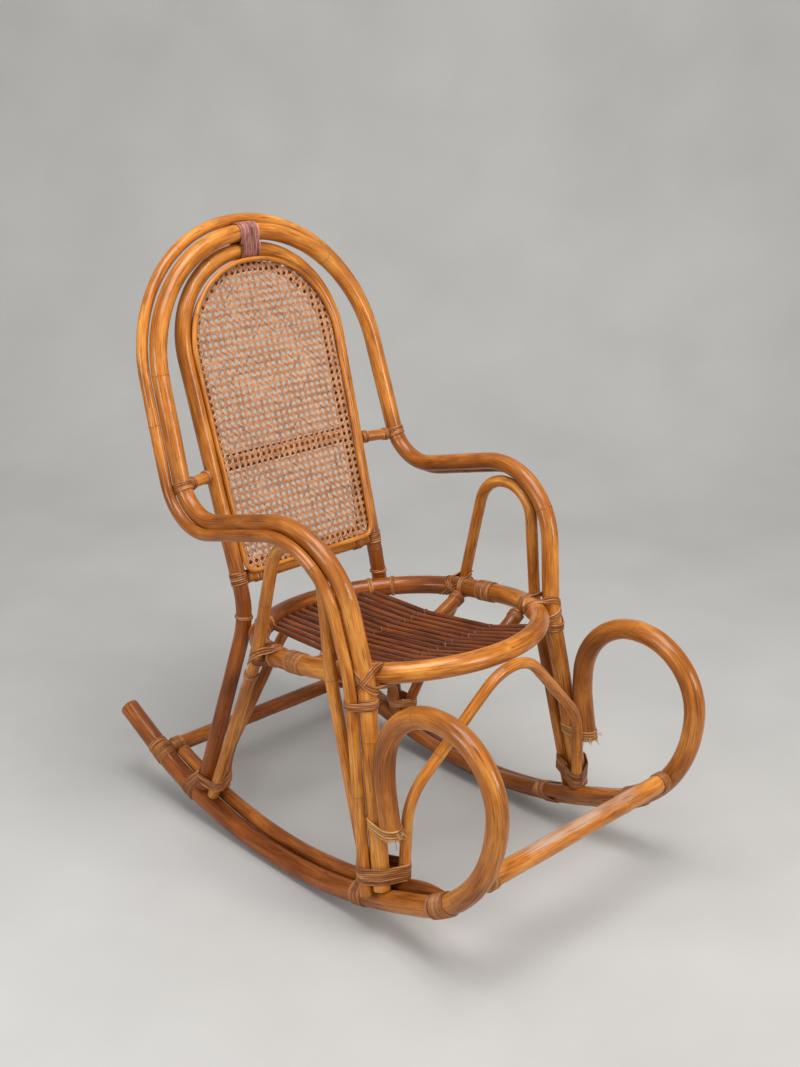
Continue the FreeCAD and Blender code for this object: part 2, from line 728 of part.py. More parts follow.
curl_front = -size("overall_depth") / 2 + rocker_r
curl_rear = curl_front + size("curl_width")
toe_height = front_tangent[1] + tangent(size("rocker_front_angle")) * (front_tangent[0] - curl_front)
leg_lean = leg_way.y / leg_way.z
curl_end_y = leg_foot.y + leg_lean * (size("curl_end") - leg_foot.z)
curl_end_y -= (rocker_r + hoop_r + gap) * math.hypot(1, leg_lean)
rocker_side = [
    (tail_end_y, tail_height(tail_end_y)),
    tail_corner,
    roll_corner,
    (curl_front, toe_height),
    (curl_front, size("curl_top")),
    (curl_rear, size("curl_top")),
    (curl_rear, size("curl_neck")),
    (curl_end_y, size("curl_end")),
]
rocker_bends = [size("tail_blend"), size("rocker_radius"), size("curl_toe_radius")]
rocker_bends += [size("curl_head_radius"), size("curl_head_radius"), size("curl_neck_radius")]
for side_name, side in SIDES:
    rocker_wire = bent_path([V(side * rocker_x, y, z) for y, z in rocker_side], rocker_bends)
    add_bent(side_name + "_rocker", "rocker_pole", rocker_wire)

# Inner rocker poles: inside the rockers and a little higher, along the rolling part

inner_r = radius("inner_pole")
inner_x = rocker_x - size("inner_side")
inner_lift = math.sqrt((rocker_r + inner_r + 2 * gap) ** 2 - size("inner_side") ** 2)
stretcher_z = tail_height(size("stretcher_y"))
inner_rear_y = size("stretcher_y") - radius("stretcher_pole") - inner_r - gap
inner_side_view = offset_side([tail_corner, roll_corner, (curl_front, toe_height)], inner_lift)
roll_ahead = inner_side_view[2]
roll_mid = inner_side_view[1]
roll_back = inner_side_view[0]


def between(first, last, y):
    share = (y - first[0]) / (last[0] - first[0])
    return (y, first[1] + (last[1] - first[1]) * share)


inner_side_view = [between(roll_mid, roll_back, inner_rear_y), roll_mid, between(roll_mid, roll_ahead, size("inner_front"))]
for side_name, side in SIDES:
    inner_wire = bent_path([V(side * inner_x, y, z) for y, z in inner_side_view], [size("inner_bend")])
    add_bent(side_name + "_inner_rocker", "inner_pole", inner_wire)

# Front and rear arches between the legs: they stand on the inner rocker poles and touch the ring

brace_r = radius("brace_pole")


def add_brace(name, ring_touch, slope, foot_y):
    """A pointed arch with a round head that just touches the ring from below."""
    head = size("brace_radius")
    rise = head / cosine(slope) - head
    drop = size("brace_knee") * tangent(slope)
    knee_z = ring_touch.z + rise - drop
    foot = V(size("brace_foot"), foot_y, 0)
    knee = V(size("brace_knee"), foot_y, knee_z)
    foot.z = foot_on(brace_r, inner_r, foot_y, knee - foot + V(0, 0, 1), inner_lift)
    lean = (ring_touch.y - foot_y) / (ring_touch.z - knee_z)
    head_corner = V(0, ring_touch.y + rise * lean, ring_touch.z + rise)
    half = [foot, knee]
    route = half + [head_corner] + mirrored(half)[::-1]
    bends = [size("brace_knee_radius"), head, size("brace_knee_radius")]
    add_bent(name, "brace_pole", bent_path(route, bends))
    return foot, knee


ring_front = seat_point(0, -size("ring_radius"))
ring_rear = seat_point(0, size("ring_side_run") + size("ring_radius"))
brace_apart = ring_r + brace_r + gap
front_touch = ring_front - V(0, cosine(size("front_brace_angle")), sine(size("front_brace_angle"))) * brace_apart
rear_touch = ring_rear - V(0, 0, brace_apart)
front_brace = add_brace("front_arch", front_touch, size("front_brace_slope"), size("front_brace_foot_y"))
rear_brace = add_brace("rear_arch", rear_touch, size("rear_brace_slope"), size("rear_brace_foot_y"))

# Foot rail between the curls and stretcher between the tails

toe_tangent = size("curl_toe_radius") * tangent((90 - size("rocker_front_angle")) / 2)
toe_centre = (curl_front + size("curl_toe_radius"), toe_height + toe_tangent)
foot_drop = toe_centre[1] - size("foot_rail_height")
foot_rail_y = toe_centre[0] - math.sqrt(size("curl_toe_radius") ** 2 - foot_drop ** 2)
foot_half = rocker_x - rocker_r - gap
foot_end = V(foot_half, foot_rail_y, size("foot_rail_height"))
add_straight("foot_rail", "foot_pole", on_side(foot_end, -1), foot_end)
stretcher_half = rocker_x - rocker_r - wall - 2 * gap
stretcher_end = V(stretcher_half, size("stretcher_y"), stretcher_z)
add_straight("rear_stretcher", "stretcher_pole", on_side(stretcher_end, -1), stretcher_end)

# Top binding: one strand wound round the hoop and the arch

strand_r = radius("strand")
hoop_middle = V(0, size("hoop_top_y"), size("hoop_top"))
wind_up = (hoop_middle - arch_middle).normalize()
wind_front = wind_up.cross(V(1, 0, 0))
span = (hoop_middle - arch_middle).Length + hoop_r + arch_r + size("binding_slack")
wind_middle = hoop_middle + wind_up * (hoop_r - span / 2)
half_tall = span / 2 + gap + strand_r
half_deep = max(hoop_r, arch_r) + gap + strand_r
turns = int(size("top_turns"))
quarters = ((-1, 1), (1, 1), (1, -1), (-1, -1))
wind_start = -size("strand_pitch") * turns / 2
wind_bend = (size("hoop_shoulder_radius") + size("arch_shoulder_radius")) / 2


def wind_point(step, deep, tall):
    """A point of the winding: it sinks with the bend of the two poles away from the middle."""
    sink = step ** 2 / (4 * wind_bend)
    return wind_middle + V(step, 0, 0) + wind_front * (deep * half_deep) + wind_up * (tall * half_tall - sink)


wind_points = [wind_point(wind_start, -1, 0)]
for quarter in range(4 * turns):
    deep, tall = quarters[quarter % 4]
    step = wind_start + size("strand_pitch") * (quarter + 0.5) / 4
    wind_points.append(wind_point(step, deep, tall))
wind_points.append(wind_point(-wind_start, -1, 0))
wind_wire = bent_path(wind_points, [half_deep * 0.97] * (4 * turns))
add_bent("top_binding", "strand", wind_wire, sides=6)


def least_self_gap(wire, diameter, turn_length):
    """Least gap between stretches of one tube that are over half a turn apart along it."""
    points = wire.discretize(Distance=turn_length / 24)
    least = None
    apart = 13
    for i, first in enumerate(points):
        for second in points[i + apart:]:
            distance = (second - first).Length - diameter
            if least is None or distance < least:
                least = distance
    return least


turn_length = wind_wire.Length / turns
print("top binding turns", turns, "least gap to itself", round(least_self_gap(wind_wire, size("strand"), turn_length), 2))

# Bindings round single poles


def wrap_pairs(name, diameter, middle, direction, length):
    pieces = []
    for side_name, side in SIDES:
        pieces.append(sleeve("%s_%s" % (name, side_name), diameter, on_side(middle, side), on_side(direction, side), length))
    return pieces


across_way = V(1, 0, 0)
peg_wrap_in = peg_start + peg_way * (size("short_wrap") / 2 + gap)
peg_wrap_out = peg_end - peg_way * (size("short_wrap") / 2 + gap)
add_group(
    "peg_bindings",
    wrap_pairs("peg_wrap_in", "peg_pole", peg_wrap_in, peg_way, "short_wrap")
    + wrap_pairs("peg_wrap_out", "peg_pole", peg_wrap_out, peg_way, "short_wrap"),
)

post_direction = arch_point(arch_side(0), 0) - waist
add_group(
    "back_rail_bindings",
    wrap_pairs("rail_wrap", "arch_pole", arch_point(arch_side(rail_down), rail_down), post_direction, "medium_wrap"),
)

post_wraps = []
post_turn = math.degrees((arch_r + size("short_wrap") / 2 + 2 * gap) / size("ring_radius")) * 1.1
for number, turn in enumerate((-post_turn, post_turn)):
    angle = size("post_angle") + turn
    on_ring = seat_point(size("ring_radius") * sine(angle), size("ring_side_run") + size("ring_radius") * cosine(angle))
    ring_way = seat_point(cosine(angle), -sine(angle)) - seat_point(0, 0)
    post_wraps += wrap_pairs("post_wrap_%d" % number, "ring_pole", on_ring, ring_way, "short_wrap")
add_group("post_bindings", post_wraps)

side_below = (side_rear_foot - side_rear_ring).normalize()
side_wrap_drop = ring_r + size("short_wrap") / 2
add_group(
    "side_pole_bindings",
    wrap_pairs("side_wrap", "side_pole", side_rear_ring + side_below * (side_wrap_drop + size("side_bend") / 8), side_below, "short_wrap"),
)

ring_side = seat_point(size("ring_radius"), size("ring_side_run") / 2)
ring_side_way = seat_point(0, 1) - seat_point(0, 0)
add_group("ring_bindings", wrap_pairs("ring_wrap", "ring_pole", ring_side, ring_side_way, "long_wrap"))

crossbar_wraps = []
for (name, place), (end, bend) in zip(CROSSBARS, crossbar_ends):
    way = (bend - end).normalize()
    crossbar_wraps += wrap_pairs(name + "_wrap", "crossbar_pole", end + way * (size("medium_wrap") / 2 + 2 * gap), way, "medium_wrap")
add_group("crossbar_bindings", crossbar_wraps)

tail_way = V(0, cosine(size("tail_angle")), sine(size("tail_angle")))
tail_wrap = V(rocker_x, size("stretcher_y"), stretcher_z)
add_group("stretcher_bindings", wrap_pairs("stretcher_wrap", "rocker_pole", tail_wrap, tail_way, "long_wrap"))

foot_wrap = foot_end - across_way * (size("medium_wrap") / 2 + 2 * gap)
add_group("foot_rail_bindings", wrap_pairs("foot_wrap", "foot_pole", foot_wrap, across_way, "medium_wrap"))

# Curl bindings: the same wrap on a bent stretch

curl_pieces = []
for side_name, side in SIDES:
    shells = []
    for part, extra in (("outside", "sizes.clearance + sizes.binding_thickness"), ("inside", "sizes.clearance")):
        points = []
        for share in (-0.5, 0, 0.5):
            angle = size("curl_wrap_at") + share * size("curl_wrap_turn")
            y = toe_centre[0] - size("curl_toe_radius") * sine(angle)
            z = toe_centre[1] - size("curl_toe_radius") * cosine(angle)
            points.append(V(side * rocker_x, y, z))
        path = doc.addObject("Part::Feature", "curl_wrap_%s_%s_path" % (side_name, part))
        path.Shape = Part.Wire([Part.Arc(*points).toShape()])
        edge = path.Shape.Edges[0]
        section = doc.addObject("Part::Circle", "curl_wrap_%s_%s_section" % (side_name, part))
        section.setExpression("Radius", "sizes.rocker_pole / 2 + " + extra)
        section.Placement = along_z(edge.valueAt(edge.FirstParameter), edge.tangentAt(edge.FirstParameter))
        shell = doc.addObject("Part::Sweep", "curl_wrap_%s_%s" % (side_name, part))
        shell.Sections = [section]
        shell.Spine = (path, ["Edge1"])
        shell.Solid = True
        shells.append(shell)
    cut = doc.addObject("Part::Cut", "curl_wrap_" + side_name)
    cut.Base, cut.Tool = shells
    curl_pieces.append(cut)
add_group("curl_bindings", curl_pieces)

# Bindings round bundles: leg with follower below the ring, the feet, and straps round both rocker poles


def bundle(poles, low, high):
    """Circles of leaning poles (foot, corner, radius) where a level band from low to high crosses them."""
    circles = []
    for foot, corner, pole_radius in poles:
        way = corner - foot
        lean = math.hypot(way.x, way.y) / way.z
        for height in (low, high):
            point = foot + way * ((height - foot.z) / way.z)
            circles.append((point.x, point.y, pole_radius * math.hypot(1, lean)))
    return circles


def level_wraps(name, poles, middle, length):
    low = middle - length / 2
    pieces = []
    for side_name, side in SIDES:
        circles = [(x * side, y, r) for x, y, r in bundle(poles, low, low + length)]
        placement = FreeCAD.Placement(V(0, 0, low), FreeCAD.Rotation())
        pieces.append(belt("%s_%s" % (name, side_name), circles, placement, length))
    return pieces


leg_pole = (leg_foot, leg_ring, hoop_r)
follower_pole = (follower_half[0], follower_half[1], radius("follower_pole"))
leg_wrap_height = leg_ring.z - ring_r - size("medium_wrap")
add_group("leg_bindings", level_wraps("leg_wrap", [leg_pole, follower_pole], leg_wrap_height, size("short_wrap")))

side_front_pole = (side_front_foot, side_front_ring, side_r)
front_brace_pole = (front_brace[0], front_brace[1], brace_r)
front_bundle = [leg_pole, follower_pole, side_front_pole, front_brace_pole]
front_wrap_height = max(size("foot_wrap_height"), front_brace[0].z + size("medium_wrap") / 2 + 2 * wall)
add_group("leg_foot_bindings", level_wraps("leg_foot_wrap", front_bundle, front_wrap_height, size("medium_wrap")))

rear_leg_pole = (rear_foot, post_ring, arch_r)
side_rear_pole = (side_rear_foot, side_rear_ring, side_r)
rear_brace_pole = (rear_brace[0], rear_brace[1], brace_r)
rear_bundle = [rear_leg_pole, side_rear_pole, rear_brace_pole]
rear_wrap_height = max(size("foot_wrap_height"), rear_brace[0].z + size("short_wrap") / 2)
add_group("rear_leg_bindings", level_wraps("rear_leg_wrap", rear_bundle, rear_wrap_height, size("short_wrap")))

straps = []
for strap_name, strap_y in (("front_strap", size("front_strap_y")), ("rear_strap", size("rear_strap_y"))):
    slope = math.degrees(math.atan(rocker_slope(strap_y)))
    way = V(0, cosine(slope), sine(slope))
    for side_name, side in SIDES:
        axes = FreeCAD.Rotation(V(1, 0, 0), V(0, -sine(slope), cosine(slope)), way * -1, "XYZ")
        start = V(side * rocker_x, strap_y, rocker_height(strap_y)) + way * (size("medium_wrap") / 2)
        circles = [(0, 0, rocker_r), (-side * size("inner_side"), inner_lift, inner_r)]
        strap = belt("%s_%s" % (strap_name, side_name), circles, FreeCAD.Placement(start, axes), size("medium_wrap"))
        straps.append(strap)
add_group("rocker_straps", straps)

# Checks and files

doc.recompute()
for item in doc.Objects:
    if "Invalid" in item.State or "Error" in item.State:
        raise RuntimeError("%s did not build: %s" % (item.Name, item.State))
for node in nodes:
    if node.Shape.isNull() or not node.Shape.isValid() or node.Shape.Volume <= 0:
        raise RuntimeError("%s has no valid shape" % node.Label)

os.makedirs("parts", exist_ok=True)
for node in nodes:
    node.Shape.exportStep("parts/%s.step" % node.Label)
print("pieces", len(nodes))
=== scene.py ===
import heapq
import math

import bpy
import numpy as np
from mathutils import Matrix, Vector


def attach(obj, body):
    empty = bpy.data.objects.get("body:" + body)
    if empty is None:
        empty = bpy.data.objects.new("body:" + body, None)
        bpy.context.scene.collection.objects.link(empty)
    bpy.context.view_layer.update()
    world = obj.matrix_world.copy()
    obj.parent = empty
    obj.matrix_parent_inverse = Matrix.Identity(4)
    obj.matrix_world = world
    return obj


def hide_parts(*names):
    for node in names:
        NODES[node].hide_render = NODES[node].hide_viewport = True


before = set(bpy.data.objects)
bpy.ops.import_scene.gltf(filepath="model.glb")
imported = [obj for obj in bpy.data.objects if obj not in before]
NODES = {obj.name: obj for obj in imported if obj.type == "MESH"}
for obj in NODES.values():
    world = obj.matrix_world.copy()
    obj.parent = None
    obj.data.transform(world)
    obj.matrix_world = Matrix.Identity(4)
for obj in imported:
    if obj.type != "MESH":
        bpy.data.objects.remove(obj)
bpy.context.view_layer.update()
MM = 0.001

# Pole diameters in millimetres, as bought and bent
POLES = {
    "outer_hoop": 30,
    "hoop_follower": 20,
    "back_arch": 28,
    "back_rail": 24,
    "cane_frame": 16,
    "cane_rail": 18,
    "cane_bead": 9,
    "left_peg": 20,
    "right_peg": 20,
    "seat_ring": 34,
    "rear_crossbar": 25,
    "front_crossbar": 25,
    "left_side_pole": 21,
    "right_side_pole": 21,
    "left_rocker": 35,
    "right_rocker": 35,
    "left_inner_rocker": 25,
    "right_inner_rocker": 25,
    "front_arch": 19,
    "rear_arch": 19,
    "foot_rail": 32,
    "rear_stretcher": 29,
}
SLATS = ["slat_%02d" % number for number in range(1, 15)]
SLAT_DIAMETER = 10
CROSSBARS = ("rear_crossbar", "front_crossbar")
CLOSED_POLES = ("seat_ring", "cane_frame", "cane_bead")


def linear(hex_colour):
    """Linear RGBA of an sRGB hex value."""
    channels = [int(hex_colour[i:i + 2], 16) / 255 for i in (1, 3, 5)]
    made = [c / 12.92 if c <= 0.04045 else ((c + 0.055) / 1.055) ** 2.4 for c in channels]
    return made + [1.0]


def add_node(tree, kind, settings=None, links=None, stops=None):
    """Adds a shader node, sets its options and sockets, and links its inputs."""
    node = tree.nodes.new("ShaderNode" + kind)
    for name, value in (settings or {}).items():
        if isinstance(name, str) and hasattr(node, name):
            setattr(node, name, value)
        else:
            node.inputs[name].default_value = value
    for name, source in (links or {}).items():
        tree.links.new(source, node.inputs[name])
    for number, (place, colour) in enumerate(stops or []):
        ramp = node.color_ramp.elements
        if number >= len(ramp):
            ramp.new(place)
        ramp[number].position = place
        ramp[number].color = linear(colour)
    return node


def new_material(name, constants):
    """A material with constants on its shader's sockets, its node tree and its shader."""
    material = bpy.data.materials.new(name)
    material.use_nodes = True
    tree = material.node_tree
    shader = tree.nodes["Principled BSDF"]
    for socket, value in constants.items():
        shader.inputs[socket].default_value = value
    return material, tree, shader


# Where a ramp of rattan colours is dark, middle and light
RAMP_PLACES = (0.36, 0.5, 0.64)


def varnished_rattan(name, honey_colours, brown_colours):
    """Rattan pole with its skin on, oiled amber and varnished: fine lengthwise fibres, short dark
    streaks, darker rings at the nodes and a clear glossy coat. The pole attribute holds the place
    across and along the pole in metres, so the fibres follow every bend. Colours run dark to light."""
    material, tree, shader = new_material(name, {
        "IOR": 1.5, "Specular IOR Level": 0.22, "Coat Weight": 0.28, "Coat Roughness": 0.09,
    })
    place, knot, tone, wear = (
        add_node(tree, "Attribute", {"attribute_name": field})
        for field in ("pole", "knot", "tone", "wear")
    )
    # Noise drawn out along the pole: fibres 1.6 by 70 mm, stains 25 by 110 mm, dark streaks 2 by 45 mm
    # and scorched places 14 by 50 mm, from the flame that the poles were bent over
    noises = []
    for scale, detail, roughness in (((625, 625, 14), 4.0, 0.62), ((40, 40, 9), 3.0, 0.55),
                                     ((480, 480, 22), 2.0, 0.5), ((72, 72, 20), 3.0, 0.6)):
        spread = add_node(tree, "Mapping", {"Scale": scale}, {"Vector": place.outputs["Vector"]})
        noises.append(add_node(tree, "TexNoise",
                               {"Scale": 1.0, "Detail": detail, "Roughness": roughness},
                               {"Vector": spread.outputs["Vector"]}))
    fibre, patch, streak, scorch = noises
    blend = add_node(tree, "Mix", {"data_type": "FLOAT", "Factor": 0.6},
                     {"A": fibre.outputs["Fac"], "B": patch.outputs["Fac"]})
    honey, brown = (
        add_node(tree, "ValToRGB", {}, {"Fac": blend.outputs["Result"]}, zip(RAMP_PLACES, colours))
        for colours in (honey_colours, brown_colours)
    )
    # Amber to red-brown by the tone: partly the pole's stain, partly painted shade under the seat and at the
    # rear
    toning = add_node(tree, "Mix", {"data_type": "RGBA"},
                     {"Factor": tone.outputs["Fac"], "A": honey.outputs["Color"],
                      "B": brown.outputs["Color"]})
    scorch_mask = add_node(tree, "MapRange", {"From Min": 0.52, "From Max": 0.72, "To Max": 0.6},
                           {"Value": scorch.outputs["Fac"]})
    streak_mask = add_node(tree, "MapRange", {"From Min": 0.57, "From Max": 0.74, "To Max": 0.8},
                           {"Value": streak.outputs["Fac"]})
    knot_mask = add_node(tree, "Math", {"operation": "MULTIPLY", 1: 0.35}, {0: knot.outputs["Fac"]})
    # Rubbed places, where the varnish is gone in flecks and the grey-pink wood shows
    wear_amount = add_node(tree, "Math", {"operation": "MULTIPLY"},
                           {0: wear.outputs["Fac"], 1: patch.outputs["Fac"]})
    wear_flecks = add_node(tree, "Math", {"operation": "MULTIPLY_ADD", 2: -0.12},
                           {0: fibre.outputs["Fac"], 1: wear_amount.outputs["Value"]})
    wear_mask = add_node(tree, "MapRange", {"From Min": 0.0, "From Max": 0.2},
                         {"Value": wear_flecks.outputs["Value"]})
    colour = toning.outputs["Result"]
    for mask, tint in ((scorch_mask.outputs["Result"], "#7A4312"), (streak_mask.outputs["Result"], "#5E3010"),
                       (knot_mask.outputs["Value"], "#5E2E12"), (wear_mask.outputs["Result"], "#B49A88")):
        laid = add_node(tree, "Mix", {"data_type": "RGBA", "B": linear(tint)},
                        {"Factor": mask, "A": colour})
        colour = laid.outputs["Result"]
    gloss = add_node(tree, "MapRange",
                     {"From Min": 0.3, "From Max": 0.7, "To Min": 0.24, "To Max": 0.42},
                     {"Value": fibre.outputs["Fac"]})
    dull = add_node(tree, "Math", {"operation": "MULTIPLY_ADD", 1: 0.3},
                    {0: wear_mask.outputs["Result"], 2: gloss.outputs["Result"]})
    relief = add_node(tree, "Bump", {"Strength": 0.35, "Distance": 0.3 * MM},
                      {"Height": blend.outputs["Result"]})
    tree.links.new(colour, shader.inputs["Base Color"])
    tree.links.new(dull.outputs["Value"], shader.inputs["Roughness"])
    tree.links.new(relief.outputs["Normal"], shader.inputs["Normal"])
    return material


def sawn_end(name):
    """Sawn end of a rattan pole: pale straw pith with dark open pores, dry and unvarnished."""
    material, tree, shader = new_material(name, {"Roughness": 0.75})
    place = add_node(tree, "TexCoord")
    pores = add_node(tree, "TexVoronoi", {"Scale": 650.0}, {"Vector": place.outputs["Object"]})
    toning = add_node(tree, "TexNoise", {"Scale": 160.0, "Detail": 3.0},
                     {"Vector": place.outputs["Object"]})
    pore_colour = add_node(tree, "ValToRGB", {}, {"Fac": pores.outputs["Distance"]},
                           [(0.12, "#6E4320"), (0.32, "#B98A52"), (0.6, "#D3AE78")])
    coloured = add_node(tree, "Mix",
                        {"data_type": "RGBA", "blend_type": "MULTIPLY", "B": linear("#C99C66")},
                        {"Factor": toning.outputs["Fac"], "A": pore_colour.outputs["Color"]})
    relief = add_node(tree, "Bump", {"Strength": 0.6, "Distance": 0.5 * MM},
                      {"Height": pores.outputs["Distance"]})
    tree.links.new(coloured.outputs["Result"], shader.inputs["Base Color"])
    tree.links.new(relief.outputs["Normal"], shader.inputs["Normal"])
    return material


def split_cane(name, light, middle, dark, roughness):
    """Flat split cane with its skin outside: glossy, with fine fibres along the strand, each strand
    a little different in colour. The strand attribute holds the place across and along in metres
    and, third, a number for the turn."""
    material, tree, shader = new_material(name, {
        "IOR": 1.5, "Specular IOR Level": 0.35, "Coat Weight": 0.25, "Coat Roughness": 0.15,
    })
    place = add_node(tree, "Attribute", {"attribute_name": "strand"})
    # Fibres 0.5 mm wide and 30 mm long
    fibre_place = add_node(tree, "Mapping", {"Scale": (2000, 33, 7)},
                           {"Vector": place.outputs["Vector"]})
    fibre = add_node(tree, "TexNoise", {"Scale": 1.0, "Detail": 3.0, "Roughness": 0.6},
                     {"Vector": fibre_place.outputs["Vector"]})
    # One tone to a turn, drifting over 60 mm
    turn_place = add_node(tree, "Mapping", {"Scale": (0, 16, 3.7)},
                          {"Vector": place.outputs["Vector"]})
    turn = add_node(tree, "TexNoise", {"Scale": 1.0, "Detail": 2.0},
                    {"Vector": turn_place.outputs["Vector"]})
    blend = add_node(tree, "Mix", {"data_type": "FLOAT", "Factor": 0.65},
                     {"A": fibre.outputs["Fac"], "B": turn.outputs["Fac"]})
    colour = add_node(tree, "ValToRGB", {}, {"Fac": blend.outputs["Result"]},
                      [(0.38, dark), (0.5, middle), (0.62, light)])
    gloss = add_node(tree, "MapRange", {"To Min": roughness - 0.08, "To Max": roughness + 0.12},
                     {"Value": fibre.outputs["Fac"]})
    relief = add_node(tree, "Bump", {"Strength": 0.3, "Distance": 0.2 * MM},
                      {"Height": fibre.outputs["Fac"]})
    tree.links.new(colour.outputs["Color"], shader.inputs["Base Color"])
    tree.links.new(gloss.outputs["Result"], shader.inputs["Roughness"])
    tree.links.new(relief.outputs["Normal"], shader.inputs["Normal"])
    return material


AMBER_RATTAN = varnished_rattan("varnished_rattan", ("#8F4F16", "#C6792C", "#E0A04C"),
                                ("#50260A", "#804012", "#A85E22"))
DARK_RATTAN = varnished_rattan("dark_stained_rattan", ("#44200F", "#6B3419", "#8A4A26"),
                               ("#3E1D0E", "#5C2C16", "#7A4122"))
SAWN_END = sawn_end("sawn_rattan_end")
CANE_BINDING = split_cane("split_cane_binding", "#C08246", "#965A2C", "#6C3A1A", 0.34)
FRAYED_CANE = split_cane("frayed_raw_cane", "#D3A66F", "#B98549", "#8C5C2E", 0.6)
DARK_BINDING = split_cane("dark_stained_cane", "#7E4526", "#5F2F18", "#41200F", 0.42)
TOP_BINDING = split_cane("purple_stained_cane", "#C28A7E", "#9E645A", "#6C3E38", 0.36)
WOVEN_CANE = split_cane("woven_chair_cane", "#D6A57C", "#BC865F", "#8F5D3E", 0.45)


def unit(vectors):
    """Vectors made one long."""
    return vectors / np.linalg.norm(vectors, axis=-1, keepdims=True)


def lengths_along(line):
    """Length along a line from its start to each of its points."""
    return np.concatenate(([0.0], np.cumsum(np.linalg.norm(np.diff(line, axis=0), axis=1))))


def read_along(places, reach, values):
    """Points or directions at some lengths along a line."""
    return np.column_stack([np.interp(places, reach, values[:, axis]) for axis in range(3)])


def merged(mesh):
    """Vertices of a mesh with doubles joined, and its triangles."""
    mesh.calc_loop_triangles()
    points = np.empty(len(mesh.vertices) * 3)
    mesh.vertices.foreach_get("co", points)
    triangles = np.empty(len(mesh.loop_triangles) * 3, dtype=np.int32)
    mesh.loop_triangles.foreach_get("vertices", triangles)
    keys = np.round(points.reshape(-1, 3) / 1e-6).astype(np.int64)
    first, place = np.unique(keys, axis=0, return_index=True, return_inverse=True)[1:]
    joined = place.reshape(-1)[triangles.reshape(-1, 3)]
    whole = (joined[:, 0] != joined[:, 1]) & (joined[:, 1] != joined[:, 2]) & (joined[:, 0] != joined[:, 2])
    return points.reshape(-1, 3)[first], joined[whole]


# Two triangles lie in one flat face when the cosine between them is above this
FLAT_COSINE = 0.9999
# An end face has at least so many triangles, and its corners lie between these shares of the radius
END_TRIANGLES = 4
END_RIM = (0.8, 1.2)
# Points nearer than this are one place on a centre line
SAME_PLACE = 1.5 * MM


def flat_groups(points, triangles):
    """Normals and areas of the triangles, how many share each one's flat face, and that face's number."""
    a, b, c = (points[triangles[:, i]] for i in range(3))
    across = np.cross(b - a, c - a)
    size = np.linalg.norm(across, axis=1)
    normal = across / np.maximum(size, 1e-15)[:, None]
    edges = np.sort(np.vstack((triangles[:, [0, 1]], triangles[:, [1, 2]], triangles[:, [2, 0]])), axis=1)
    owner = np.tile(np.arange(len(triangles)), 3)
    order = np.lexsort((edges[:, 1], edges[:, 0]))
    edges, owner = edges[order], owner[order]
    shared = np.all(edges[1:] == edges[:-1], axis=1)
    one, two = owner[:-1][shared], owner[1:][shared]
    level = np.einsum("ij,ij->i", normal[one], normal[two]) > FLAT_COSINE
    one, two = one[level], two[level]
    face = np.arange(len(triangles))
    settled = False
    while not settled:
        before = face.copy()
        lowest = np.minimum(face[one], face[two])
        np.minimum.at(face, one, lowest)
        np.minimum.at(face, two, lowest)
        settled = np.array_equal(before, face)
    place, count = np.unique(face, return_inverse=True, return_counts=True)[1:]
    place = place.reshape(-1)
    return normal, size / 2, count[place], place


def end_faces(points, triangles, radius):
    """Which triangles lie on a pole's two end faces: flat, with every corner a radius from the middle."""
    normal, _, flat, group = flat_groups(points, triangles)
    ends = np.zeros(len(triangles), dtype=bool)
    for number in np.unique(group[flat >= END_TRIANGLES]):
        inside = group == number
        spots = points[np.unique(triangles[inside])]
        reach = np.linalg.norm(spots - spots.mean(axis=0), axis=1)
        if reach.min() > END_RIM[0] * radius and reach.max() < END_RIM[1] * radius:
            ends |= inside
    return ends, normal


def gathered(spots):
    """Points in order, with those of one place brought together."""
    line = []
    group = [spots[0]]
    for spot in spots[1:]:
        if np.linalg.norm(spot - group[0]) > SAME_PLACE:
            line.append(np.mean(group, axis=0))
            group = []
        group.append(spot)
    line.append(np.mean(group, axis=0))
    return np.array(line)


def round_the_middle(centre):
    """Points of a closed loop in order, by their bearing from its middle."""
    middle = (centre.min(axis=0) + centre.max(axis=0)) / 2
    plane = np.linalg.svd(centre - middle, full_matrices=False)[2][:2]
    flat = (centre - middle) @ plane.T
    return gathered(centre[np.argsort(np.arctan2(flat[:, 1], flat[:, 0]), kind="stable")])


